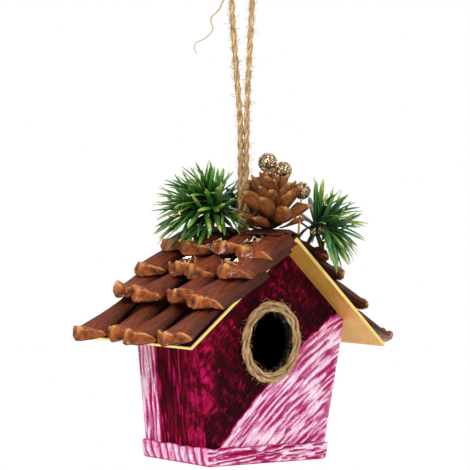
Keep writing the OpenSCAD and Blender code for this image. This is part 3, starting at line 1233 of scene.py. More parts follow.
@dataclass(frozen=True)
class Studio:
    """The camera, the lights and the floor."""

    azimuth: float = -43.86
    elevation: float = 0.39
    roll: float = 2.36
    distance: float = 802.3
    lens: float = 153.6
    target: Triple = (-5.4, 0.0, 89.5)
    floor_drop: float = 420.0
    floor_r: float = 1600.0
    room_light: float = 0.42

    def camera(self) -> Object:
        """Makes the camera, a little turned about its own axis.

        Returns:
            The camera.
        """
        az, el, roll = (math.radians(a) for a in (self.azimuth, self.elevation, self.roll))
        back = Vector((math.sin(az) * math.cos(el), -math.cos(az) * math.cos(el), math.sin(el)))
        right = Vector((0, 0, 1)).cross(back).normalized()
        up = back.cross(right)
        tipped = right * math.cos(roll) + up * math.sin(roll)
        data = bpy.data.cameras.new("camera")
        data.lens, data.sensor_width, data.clip_end = self.lens, 36.0, 100.0
        camera = shown("camera", data)
        turn = Matrix((tipped, back.cross(tipped), back)).transposed().to_4x4()
        spot = Vector(HOUSE.at(self.target)) + back * self.distance * MM
        camera.matrix_world = Matrix.Translation(spot) @ turn
        bpy.context.scene.camera = camera
        return camera

    def light(self, name: str, azimuth: float, elevation: float, far: float, size: float, power: float) -> Object:
        """Makes a soft square light that faces the house.

        Args:
            name: Its name.
            azimuth: Its direction in degrees, as the camera's.
            elevation: Its height in degrees.
            far: Its distance in metres.
            size: Its side in metres.
            power: Its power in watts.

        Returns:
            The light.
        """
        az, el = math.radians(azimuth), math.radians(elevation)
        away = Vector((math.sin(az) * math.cos(el), -math.cos(az) * math.cos(el), math.sin(el)))
        data = bpy.data.lights.new(name, "AREA")
        data.energy, data.size = power, size
        lamp = shown(name, data)
        lamp.location = Vector(HOUSE.at((0, 0, 60))) + away * far
        lamp.rotation_euler = away.to_track_quat("Z", "Y").to_euler()
        return lamp

    def build(self) -> None:
        """Sets up the lights, the white room and the floor."""
        scene = bpy.context.scene
        scene.view_settings.view_transform = "Standard"
        self.light("key", azimuth=-95, elevation=40, far=1.3, size=0.5, power=10.5)
        self.light("front", azimuth=-10, elevation=25, far=1.5, size=0.6, power=9.0)
        self.light("side", azimuth=70, elevation=30, far=1.5, size=0.8, power=6.0)
        self.light("top", azimuth=150, elevation=70, far=1.5, size=0.8, power=4.0)
        world = bpy.data.worlds.new("white_room")
        world.use_nodes = True
        sky = Graph(world.node_tree)
        seen = sky.add("ShaderNodeLightPath").outputs["Is Camera Ray"]
        glow = sky.math("MULTIPLY_ADD", seen, 1.0 - self.room_light, self.room_light)
        back = world.node_tree.nodes["Background"]
        back.inputs["Color"].default_value = (1, 1, 1, 1)
        world.node_tree.links.new(glow, back.inputs["Strength"])
        scene.world = world
        self.floor()

    def floor(self) -> None:
        """Makes a wide pale floor below the hanging house."""
        turn = round_turn(64)
        rim = np.stack([self.floor_r * np.cos(turn), self.floor_r * np.sin(turn), np.full(64, -self.floor_drop)], 1)
        floor = Shape(rim, [tuple(range(64))]).piece("floor", smooth=False)
        paint = Paint("pale_floor", Base_Color=(0.9, 0.9, 0.9, 1), Roughness=0.9)
        paint.shader.inputs["Emission Color"].default_value = (1, 1, 1, 1)
        paint.shader.inputs["Emission Strength"].default_value = 0.3
        dressed(floor, paint.material)


# ---------- twine ----------


@dataclass
class Hanger:
    """The loop of twine, its knots, its loose fibres and the foot that goes into the ridge."""

    shop: Workshop
    twine_d: float = 2.3
    pivot: Triple = (3.4, -3.3, -107.0)
    strand_gap: float = 0.84
    centre: Pair = (2.25, -2.205)
    drift: float = 0.027
    drift_from: float = -64.0
    pinch: float = 0.24
    pinch_depths: Pair = (54.0, 66.0)
    thickening: float = 1.1
    lay: float = 11.0
    loose: float = 0.19
    hairs: float = 3.2e5
    hair_radii: Pair = (0.07, 0.035)
    thread_radii: Pair = (0.3, 0.13)
    bend_depths: Pair = (-30.0, -99.0)
    knot_r: float = 3.0
    stopper_r: float = 3.6
    knot_at: Triple = (-3.1, 2.9, -9.5)
    route: tuple[Triple, ...] = (
        (2.3, -2.2, -99), (2.2, -2.0, -94), (2.0, -1.9, -89), (1.8, -1.7, -84), (1.7, -1.6, -79),
        (1.5, -1.4, -74), (1.3, -1.2, -69), (1.1, -1.1, -64), (0.9, -0.9, -59), (0.5, -0.5, -53),
        (0.0, -0.0, -47), (-0.5, 0.5, -41), (-1.0, 1.0, -35), (-1.5, 1.5, -29), (-2.0, 2.0, -23),
        (-2.5, 2.4, -17), (-2.9, 2.8, -11), (-3.2, 3.1, -6), (-3.3, 3.2, -3.5), (-3.1, 3.0, -1.7),
        (-2.4, 2.3, -0.2), (-1.3, 1.3, 0.8), (0.0, 0.0, 1.15), (1.3, -1.3, 0.8), (2.4, -2.3, -0.2),
        (3.2, -3.1, -1.7), (3.4, -3.3, -3.5), (3.4, -3.4, -6), (3.3, -3.3, -11), (3.2, -3.2, -17),
        (3.2, -3.2, -23), (3.1, -3.1, -29), (3.1, -3.1, -35), (3.1, -3.0, -41), (3.0, -3.0, -47),
        (3.1, -3.0, -53), (3.2, -3.1, -59), (3.4, -3.3, -64), (3.5, -3.4, -69), (3.6, -3.6, -74),
        (3.7, -3.7, -79), (3.8, -3.8, -84), (3.9, -3.9, -89), (4.0, -4.0, -94), (4.1, -4.1, -99),
    )
    thread: tuple[Triple, ...] = (
        (-3.6, 3.4, -10.5), (-5.2, 5.0, -14), (-6.4, 6.0, -17.4), (-8.2, 7.8, -20.2), (-8.4, 8.0, -22.4),
        (-7.8, 7.4, -25.0), (-8.6, 8.2, -27.2), (-10.4, 9.8, -29.4), (-12.6, 11.8, -31.0), (-13.0, 12.2, -33.4),
        (-12.2, 11.4, -35.4),
    )

    def path(self) -> Array:
        """Takes the twine up from the ridge's hole, over the hook and down again.

        Returns:
            Its middle line in frame millimetres.
        """
        foot = np.array(self.pivot)
        gap = self.strand_gap
        start = [foot + (-gap, gap, 0), foot + (-gap, gap, 4)]
        end = [foot + (gap, -gap, 4), foot + (gap, -gap, 0)]
        path = smooth_path([*start, *self.route, *end], 4)
        middle = self.centre[0] - self.drift * (path[:, 2] - self.drift_from)
        centre = np.stack([middle, self.centre[1] / self.centre[0] * middle], 1)
        close = (1 - self.pinch * ramp(-path[:, 2], *self.pinch_depths))[:, None]
        path[:, :2] = centre + (path[:, :2] - centre) * close
        return path

    def yarn(
        self, name: str, path: Array, diameter: float, pitch: float, loose: float, closed: bool = False
    ) -> Object:
        """Twists two plies of jute along a path.

        Args:
            name: The piece's name.
            path: The middle line, in metres.
            diameter: The yarn's diameter in millimetres.
            pitch: The length of one turn in millimetres.
            loose: How far each ply is from the middle, for a diameter of 1.
            closed: Whether the path closes on itself.

        Returns:
            The yarn.
        """
        mesh = bpy.data.meshes.new(f"{name}_path")
        count = len(path)
        edges = [(i, i + 1) for i in range(count - 1)] + ([(count - 1, 0)] if closed else [])
        mesh.from_pydata(path.tolist(), edges, [])
        length = float(np.linalg.norm(np.diff(path, axis=0), axis=1).sum()) / MM
        turns = max(2, round(length / pitch))
        return self.shop.strand.grow(
            shown(f"{name}_path", mesh), name, self.shop.jute, Turns=float(turns), Plies=2, Sides=8,
            Ply_Radius=diameter * (0.52 - loose) * MM, Ply_Offset=diameter * loose * MM,
        )

    @staticmethod
    def unplied(fibre: Shape) -> Shape:
        """Gives a single fibre the marks that the plies of a yarn have."""
        fibre.marks.update(around=np.zeros(len(fibre.points)), ply=np.zeros(len(fibre.points)))
        return fibre

    def fuzz(self, name: str, yarn: Object, density: float, seed: int) -> Object:
        """Covers a yarn with thin loose fibres.

        Args:
            name: The piece's name.
            yarn: The yarn.
            density: Fibres for each square metre.
            seed: The draw.

        Returns:
            The fibres.
        """
        bend = smooth_path([(0, 0, -0.2), (0.1, 0, 0.5), (0.6, 0.1, 1.0), (1.5, 0.1, 1.15)], 2)
        hair = self.unplied(swept(bend, np.linspace(*self.hair_radii, len(bend)), 3))
        template = hair.template(f"{name}_hair")
        base = shown(f"{name}_base", yarn.data.copy())
        return self.shop.scattered.grow(
            base, name, self.shop.jute, Template=template, Density=density, Smallest=0.6, Largest=1.6,
            Lean=0.7, Seed=seed,
        )

    def knot(self, name: str, middle: Array, radius: float) -> Object:
        """Ties a small round knot.

        Args:
            name: The piece's name.
            middle: Its middle in frame millimetres.
            radius: Its size in millimetres.

        Returns:
            The knot.
        """
        t = round_turn(90)
        path = np.stack([np.sin(t) + 2 * np.sin(2 * t), np.cos(t) - 2 * np.cos(2 * t), -1.3 * np.sin(3 * t)], 1)
        return self.yarn(name, (path * radius / 4.2 + middle) * MM, radius * 0.85, 4.0, self.loose, closed=True)

    def cord(self) -> None:
        """Makes the loop, from its foot up one strand, over the hook and down the other."""
        path = self.path() * MM
        loop = self.yarn("twine_loop", path, self.thickening * self.twine_d, self.lay, loose=self.loose)
        fuzz = self.fuzz("twine_fuzz", loop, self.hairs, 3)
        line = smooth_path(self.thread, 6)
        strand = self.unplied(swept(line, np.linspace(*self.thread_radii, len(line)), 6))
        thread = dressed(shown("stray_thread", strand.in_metres().mesh("stray_thread")), self.shop.jute)
        knot = self.knot("loop_knot", np.array(self.knot_at), self.knot_r)
        kept(knot, "jute", "hanger_knot", body=Body.HANGER)
        kept(thread, "jute", body=Body.HANGER)
        start, end = (Vector((*self.pivot[:2], z)) * MM for z in self.bend_depths)
        for piece in (loop, fuzz):
            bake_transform(piece)
        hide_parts("hanger_twine", "twine_neck")

    def stopper(self) -> None:
        """Ties the knot that holds the twine under the ridge."""
        low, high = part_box("stopper_knot")
        knot = self.knot("stopper", np.array((low + high) / 2) / MM, self.stopper_r)
        kept(knot, "jute", "stopper_knot")


# ---------- card and velvet ----------


@dataclass
class Shell:
    """The card box inside the velvet, near black as painted shade for its dim inside."""

    shop: Workshop
    walls: tuple[str, ...] = ("front_wall", "back_wall", "left_wall", "right_wall", "floor_panel")

    def build(self) -> None:
        """Gives the card nodes their finish."""
        for wall in self.walls:
            dressed(frame["nodes"][wall], self.shop.card)


@dataclass
class Velvet:
    """The crushed velvet on each wall, and the band of it round the base."""

    shop: Workshop
    cell: float = 0.45
    roll: float = 1.3
    thickness: float = 0.5
    hole_x: float = -2.0
    hole_z: float = 48.0
    hole_r: float = 14.0
    pale_height: float = 33.0
    pale_slope: float = 0.86
    pale_bow: float = 0.0035
    deep_from: float = 9.0
    pale_from: float = 25.5
    band_h: float = 7.0
    band_t: float = 0.9
    band_corner: float = 1.6
    hem_w: float = 6.0

    def rolled(self, distance: Array) -> Array:
        """How far the cloth sinks where it turns round a corner, by its distance from the corner."""
        t = np.clip(1 - distance / self.roll, 0, 1)
        return self.roll * 0.8 * (1 - np.sqrt(np.maximum(1 - t * t, 0)))

    def combed(self, along: Array, across: Array, seed: int, long: float, gap: float) -> Array:
        """Combed pile: long tufts with thin dark furrows between them.

        Args:
            along: Places along the combing.
            across: Places across it.
            seed: The draw.
            long: A tuft's length.
            gap: A tuft's width.

        Returns:
            Values from 0, in a furrow, to 1.
        """
        phase = across / (1.8 * gap) + 1.3 * Grain(seed + 50)(along / (2.6 * long), across / (2.4 * gap))
        ridge = 0.5 + 0.5 * np.cos(2 * math.pi * phase)
        breaks = Grain(seed)(along / (0.8 * long), across / (1.4 * gap))
        fine = Grain(seed + 2)(along / (0.6 * long), across / (0.45 * gap))
        furrow = (1 - ridge) ** 1.5 * ramp(breaks, 0.15, 0.75)
        return np.clip(0.95 - 0.95 * furrow - 0.6 * ramp(0.46 - fine, 0.0, 0.22), 0, 1)

    def front_nap(self, x: Array, z: Array) -> tuple[Array, Array]:
        """The front's pile: deep above a slanting line, combed pale streaks of painted sheen below it, and a painted
        highlight where it turns round the corner.

        Args:
            x: Places across the front.
            z: Heights.

        Returns:
            The pile's tone from 0, deep, to 1, pale, and its relief from 0 to 1.
        """
        line = self.pale_height + self.pale_slope * x - self.pale_bow * x**2
        across = (z - line) * 0.75
        combed = self.combed(0.75 * x + 0.66 * z, across + 0.05 * x, 11, 9.0, 1.6)
        pale = 0.52 + 0.45 * combed + 0.1 * (Grain(12)(x / 9, z / 9) - 0.5)
        flecks = Grain(5)(x / 0.8, z / 1.1) * Grain(6)((x + z) / 3, (x - z) / 6)
        crumpled = 0.1 + 1.2 * Grain(7)(x / 2.0, z / 2.4) ** 1.5
        # The corner term is a painted highlight: crumpled hot pink where the pile turns round the corner and catches
        # the light.
        corner = bump(x, 1.5 - HOUSE.side_x(z), 5.0) * ramp(z, 8, 30) * crumpled
        # The glow term is painted sheen: it lifts the deep velvet near the top of the gable and in a patch at the
        # upper left.
        glow = 0.14 * ramp(z, 56, 80) + 0.2 * bump(x, -26, 9) * bump(z, 52, 12)
        deep = 0.5 * np.tanh((0.03 + (0.5 + 0.5 * glow) * flecks**1.4 + 0.5 * glow + 0.6 * corner) / 0.5)
        edge = ramp(line - z + 1.6 * (Grain(9)(x / 2.5, z / 2.5) - 0.5), -0.9, 0.9)
        return deep + (pale - deep) * edge, 0.3 * flecks + (combed - 0.3 * flecks) * edge

    def side_nap(self, t: Array, z: Array, seed: int) -> tuple[Array, Array]:
        """A side's pile: a painted highlight at the front corner, deep in the middle and pale painted sheen at the
        back.

        Args:
            t: Distances from the front corner.
            z: Heights.
            seed: The draw.

        Returns:
            The tone and the relief.
        """
        combed = self.combed(z, t + 0.02 * z, seed, 12.0, 1.35)
        crumpled = 0.6 * Grain(seed + 3)(t / 2.1, z / 2.4) + 0.4 * Grain(seed + 8)(t / 0.8, z / 1.0)
        patches = Grain(seed + 6)(t / 5, z / 6)
        # The bright front corner is a painted highlight, where the crumpled pile catches the light.
        painted_corner_sheen = 0.5 * np.tanh((0.05 + 0.75 * crumpled**1.5 + 0.22 * patches) / 0.5)
        streaks = ramp(combed, 0.7, 1.05) * ramp(Grain(seed + 9)(t / 1.3, z / 14), 0.25, 0.7)
        deep = 0.13 + 0.14 * patches + 0.5 * streaks
        pale = 0.5 + 0.46 * combed
        to_deep = ramp(t + 3.0 * (Grain(seed + 4)(z / 5, z * 0) - 0.5), self.deep_from, self.deep_from + 3.0)
        to_pale = ramp(t + 2.5 * (Grain(seed + 5)(z / 9, z * 0) - 0.5), self.pale_from, self.pale_from + 2.0)
        tone = painted_corner_sheen + (deep - painted_corner_sheen) * to_deep
        return tone + (pale - tone) * to_pale, 0.35 * crumpled + (combed - 0.35 * crumpled) * to_deep

    def sheet(self, name: str, shape: Shape) -> Object:
        """Makes one covering from its shape, as cloth with a thickness.

        Args:
            name: The piece's name.
            shape: The cloth's outer face.

        Returns:
            The covering.
        """
        piece = dressed(shape.piece(name), self.shop.velvet)
        solid = piece.modifiers.new("cloth", "SOLIDIFY")
        solid.thickness, solid.offset = self.thickness * MM, -1.0
        kept(piece, "velvet", name.replace("_cover", "_velvet"))
        return piece

    def gable(self, name: str, facing: int) -> None:
        """Covers the front or the back.

        Args:
            name: The piece's name.
            facing: -1 for the front, 1 for the back.
        """
        rows = np.concatenate([np.arange(HOUSE.hem_t, HOUSE.wall_h, self.cell), [HOUSE.wall_h],
                               np.arange(HOUSE.wall_h + self.cell, HOUSE.apex - 0.3, self.cell)])
        columns = round(HOUSE.top_w / self.cell)
        under_roof = (HOUSE.apex - rows) / math.tan(HOUSE.pitch)
        half = np.minimum(HOUSE.side_x(rows), under_roof)
        t = np.linspace(-1, 1, columns)
        x, z = half[:, None] * t, np.broadcast_to(rows[:, None], (len(rows), columns))
        tone, relief = self.front_nap(x * -facing, z)
        to_side = (HOUSE.side_x(z) - np.abs(x)) * np.where(z < HOUSE.wall_h + 1, 1, 9)
        out = 0.45 * relief - 0.15 - self.rolled(to_side)
        y = facing * (HOUSE.depth / 2 + out)
        points = np.stack([x, y, z], -1).reshape(-1, 3)
        faces = lattice(len(rows), columns)
        if facing < 0:
            middle = points[[f[0] for f in faces]]
            clear = np.hypot(middle[:, 0] - self.hole_x, middle[:, 2] - self.hole_z) > self.hole_r
            faces = [f for f, keep in zip(faces, clear) if keep]
        else:
            faces = [f[::-1] for f in faces]
        run, off = 0.75 * x * -facing + 0.66 * z, 0.7 * z - 0.66 * x * -facing
        marks = {"nap": np.clip(tone, 0, 1), "run": run, "off": off}
        area = (HOUSE.top_w + HOUSE.bottom_w) / 2 * HOUSE.wall_h + HOUSE.top_w / 2 * (HOUSE.apex - HOUSE.wall_h)
        if facing < 0:
            area -= math.pi * self.hole_r**2
        shape = Shape(points, faces, {k: m.ravel() for k, m in marks.items()})
        self.sheet(name, shape)

    def flank(self, name: str, side: Side) -> None:
        """Covers a side.

        Args:
            name: The piece's name.
            side: Which side it is on.
        """
        depth = HOUSE.depth - 0.4
        rows = np.arange(HOUSE.hem_t, HOUSE.wall_h + 0.2, self.cell)
        y = np.linspace(-depth / 2, depth / 2, round(depth / self.cell))
        z, y = np.meshgrid(rows, y, indexing="ij")
        tone, relief = self.side_nap(y + depth / 2, z, 30 if side is Side.LEFT else 60)
        out = 0.45 * relief - 0.15 - self.rolled(depth / 2 - np.abs(y))
        x = side.value * (HOUSE.side_x(z) + out)
        points = np.stack([x, y, z], -1).reshape(-1, 3)
        faces = lattice(*z.shape)
        if side is Side.LEFT:
            faces = [f[::-1] for f in faces]
        marks = {"nap": np.clip(tone, 0, 1), "run": z, "off": y}
        shape = Shape(points, faces, {k: m.ravel() for k, m in marks.items()})
        self.sheet(name, shape)

    def band(self) -> None:
        """Folds a strip of velvet round the base, with its lower edge turned under the floor."""
        half_x, half_y = HOUSE.bottom_w / 2 + self.band_t, HOUSE.depth / 2 + self.band_t
        outline = self.rounded_rectangle(half_x, half_y, self.band_corner)
        count = len(outline)
        run = np.concatenate([[0], np.cumsum(np.linalg.norm(np.diff(outline, axis=0), axis=1))])
        ahead = np.roll(outline, -1, 0) - np.roll(outline, 1, 0)
        away = np.stack([ahead[:, 1], -ahead[:, 0]], 1)
        away /= np.linalg.norm(away, axis=1)[:, None]
        rise = [(0.25, -self.hem_w), (0.1, -3.0), (0.0, -1.0), (0.15, -0.35), (0.6, 0.0)]
        climb = np.arange(1.1, self.band_h - 0.3, self.cell)
        profile = np.array(
            rise + [(z, 0.25 * math.sin(math.pi * z / self.band_h)) for z in climb]
            + [(self.band_h - 0.15, -0.1), (self.band_h + 0.1, -0.5), (self.band_h, -0.95)]
        )
        s, z = np.meshgrid(run, profile[:, 0], indexing="ij")
        inset = np.broadcast_to(profile[:, 1], s.shape)
        wave = 0.9 * (Grain(81)(s / 3.5, s * 0 + 3) - 0.5)
        warped = s + 1.2 * (Grain(83)(s / 6, z / 5) - 0.5) + 0.25 * z
        ribs = np.abs(np.sin(math.pi * warped / 4.1)) ** 0.55
        upright = np.clip(0.1 + 0.72 * ribs + 0.45 * (Grain(84)(s / 0.8, z / 3) - 0.5), 0, 1)
        level = self.combed(s + 2 * z, z - 0.1 * s, 85, 7.0, 1.0)
        facing = np.broadcast_to(ramp(np.abs(away[:, 1]), 0.3, 0.7)[:, None], s.shape)
        combed = upright + (level - upright) * facing
        visible = ramp(z, 0.1, 0.8) * ramp(self.band_h - z, -0.3, 0.4)
        out = inset + z * HOUSE.taper * np.abs(away[:, :1]) + (0.9 * combed - 0.4) * visible
        height = z + wave * ramp(z, 3, self.band_h)
        xy = outline[:, None, :] + out[:, :, None] * away[:, None, :]
        points = np.concatenate([xy, height[:, :, None]], -1).reshape(-1, 3)
        # The tone is halved where the cloth turns under the floor and over the top edge: painted shade in the folds.
        nap = np.clip(0.4 + 0.6 * combed, 0, 1) * (0.5 + 0.5 * visible)
        rings = len(profile)
        faces = [
            (i * rings + j, ((i + 1) % count) * rings + j, ((i + 1) % count) * rings + j + 1, i * rings + j + 1)
            for i in range(count) for j in range(rings - 1)
        ]
        marks = {"nap": nap, "run": s + (z - s) * (1 - facing), "off": z + (s - z) * (1 - facing)}
        band = Shape(points, faces, {k: m.ravel() for k, m in marks.items()}).piece("base_velvet")
        piece = dressed(band, self.shop.velvet)
        solid = piece.modifiers.new("cloth", "SOLIDIFY")
        solid.thickness, solid.offset = 0.35 * MM, -1.0
        kept(piece, "pale_velvet", "base_band")

    def rounded_rectangle(self, half_x: float, half_y: float, corner: float) -> Array:
        """The outline of a rectangle with round corners, from above and against the clock.

        Args:
            half_x: Half its width.
            half_y: Half its depth.
            corner: The corners' radius.

        Returns:
            Points in even steps.
        """
        points = []
        for cx, cy, start in ((1, -1, -90), (1, 1, 0), (-1, 1, 90), (-1, -1, 180)):
            arc = np.radians(start + np.linspace(0, 90, 6))
            middle = np.array([cx * (half_x - corner), cy * (half_y - corner)])
            points.append(middle + corner * np.stack([np.cos(arc), np.sin(arc)], 1))
        ring = np.vstack(points)
        ring = np.vstack([ring, ring[:1]])
        run = np.concatenate([[0], np.cumsum(np.linalg.norm(np.diff(ring, axis=0), axis=1))])
        even = np.arange(0, run[-1] - self.cell / 2, self.cell)
        return np.stack([np.interp(even, run, ring[:, k]) for k in (0, 1)], 1)

    def build(self) -> None:
        """Makes all the coverings."""
        self.gable("front_cover", -1)
        self.gable("back_cover", 1)
        self.flank("left_cover", Side.LEFT)
        self.flank("right_cover", Side.RIGHT)
        self.band()


# ---------- entrance ----------


@dataclass
class Entrance:
    """Two turns of twine round the hole, with their loose fibres."""

    shop: Workshop
    hanger: Hanger
    middle: Pair = (-2.0, 48.0)
    turn_radii: Pair = (13.1, 15.2)
    twine_d: float = 2.15
    lay: float = 15.0
    loose: float = 0.22
    hairs: float = 4.5e5
    sway: float = 0.22

    def build(self) -> None:
        """Makes both turns."""
        for name, radius, seed in zip(("inner", "outer"), self.turn_radii, (21, 22)):
            low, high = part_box(f"entrance_ring_{name}")
            y = (low.y + high.y) / 2 / MM - HOUSE.origin[1] / MM
            t = round_turn(160)
            sway = self.sway * (Grain(seed)(t * 2, t * 0) - 0.5)
            x = self.middle[0] + (radius + sway) * np.cos(t)
            z = self.middle[1] + (radius + sway) * np.sin(t)
            path = np.stack([x, y + 0.4 * sway, z], 1)
            yarn = self.hanger.yarn(f"ring_{name}", HOUSE.at(path), self.twine_d, self.lay, self.loose, closed=True)
            fuzz = self.hanger.fuzz(f"ring_{name}_fuzz", yarn, self.hairs, seed)
            kept(yarn, "jute", f"entrance_ring_{name}")
            kept(fuzz, "jute")


# ---------- roof ----------


@dataclass
class RoofScale:
    """One scale: a hollow striated body that widens into a thick, lumpy tip with a keel across it."""

    length: float
    width: float = 17.6
    body_t: float = 1.5
    tip_t: float = 5.0
    tip_run: float = 14.0
    keel: float = 0.76

    def shape(self, seed: int, droop: float = 0.0, droop_side: int = 1) -> Shape:
        """Makes one scale, lying along X on its flat side.

        Args:
            seed: The draw.
            droop: How far one long edge hangs down over the end of the roof.
            droop_side: That edge's side.

        Returns:
            The scale in millimetres.
        """
        draw = np.random.default_rng(seed)
        body = np.linspace(0, self.length - self.tip_run, 12, endpoint=False)
        tip = self.length - self.tip_run + self.tip_run * np.linspace(0, 1, 34)
        x = np.concatenate([body, tip])[:, None]
        over, under = np.linspace(-1, 1, 41), np.linspace(0.96, -0.96, 13)
        v = np.concatenate([over, under])[None, :] + 0 * x
        is_top = np.arange(v.shape[1]) < len(over)
        u, q = x / self.length, np.clip(1 - (self.length - x) / self.tip_run, 0, 1)
        stops = [0, 0.2, 0.45, 0.68, 0.84, 0.93, 0.98, 1]
        half = np.interp(u, stops, [0.42, 0.5, 0.62, 0.86, 1.0, 0.98, 0.86, 0.62]) * (1 + draw.uniform(-0.07, 0.04))
        straight = ramp(v * droop_side, 0, 0.6) * min(droop, 1) * (1 - ramp(q, 0.75, 1.0))
        half = (half + (1.02 - half) * straight) * self.width / 2
        peak = draw.uniform(-0.25, 0.25)
        lumps = Grain(seed * 3 + 1)(x / 2.6 + 9, v * 3.4 + 4) - 0.5
        knobs = Grain(seed * 3 + 2)(x / 1.1, v * 8 + 30) - 0.5
        crest = self.tip_t * (1.06 - 0.4 * np.abs(v) ** 2.5) + 0.8 * bump(v, peak, 0.18)
        crest = crest + 1.9 * (Grain(seed + 9)(v * 2.9 + 5, v * 0) - 0.5)
        rise = ramp(q, 0.4 + 0.06 * draw.random(), self.keel) ** 1.5
        fall = 1 - 0.62 * ramp(q, self.keel + 0.01, 1.0) ** 0.9
        spine = 2.5 * (1 - np.abs(v + 0.8 * peak) ** 1.3) * ramp(u, 0.1, 0.45)
        hollow = self.body_t - 0.5 * ramp(u, 0, 0.2) + spine + 0.5 * np.abs(v) ** 5 + 0.7 * ramp(u, 0.3, 0.8)
        grooves = 0.24 * np.sin(17 * v + 4 * Grain(seed + 4)(x / 11, v * 3)) * (1 - rise) * ramp(u, 0.02, 0.2)
        top = (hollow + grooves) * (1 - rise) + crest * fall * rise
        top = top + (1.3 * lumps + 0.75 * knobs) * ramp(q, 0.45, 0.7)
        dent = 0.35 * bump(q, 0.8, 0.15) * (1 - v * v)
        belly = 1.1 * ramp(u, 0.35, 0.85) + 0.7 * ramp(q, 0.8, 1.0) ** 2 - dent + 0.2 * knobs * ramp(q, 0.5, 0.8)
        edge = (1 - np.minimum(np.abs(v), 1) ** 7) ** 0.5
        z = np.where(is_top, belly + (np.maximum(top, belly + 0.4) - belly) * edge, belly)
        back = 4.2 * np.abs(v) ** 2.3 * ramp(q, 0.2, 1.0)
        nose = (1.3 * lumps + 0.7 * bump(v, peak, 0.2)) * ramp(q, 0.6, 1.0)
        z = z - droop * ramp(v * droop_side, 0.72, 0.98) * (1 - 0.5 * ramp(q, 0.7, 1.0))
        swell = 0.5 * np.where(is_top, 1.0, 0.0) * bump(q, 0.97, 0.12)
        points = np.stack([x - back + nose + swell, half * v + draw.uniform(-0.7, 0.7) * u**2, z], -1).reshape(-1, 3)
        # The keel mark places a painted highlight along the keel and on the umbo.
        raised = bump(q, self.keel + 0.02 * draw.uniform(-1, 1), 0.035) * (0.45 + 1.6 * knobs + 0.9 * lumps)
        marks = {
            "tip": ramp(q + 0.22 * lumps + 0.1 * knobs, 0.5, 0.72),
            "keel": np.where(is_top, np.clip(raised + 0.8 * bump(v, peak, 0.13) * bump(q, 0.8, 0.08), 0, 1), 0),
            "along": q + 0 * v,
            "across": v * 0.5,
        }
        marks = {k: (m + 0 * v).ravel() for k, m in marks.items()}
        return Shape(points, capped(x.size, v.shape[1]), marks)


@dataclass(frozen=True)
class Course:
    """One row of scales: how far down the slope its tips reach, and how its scales lie."""

    tip: float
    length: float
    tilt: float
    lift: float = 0.05


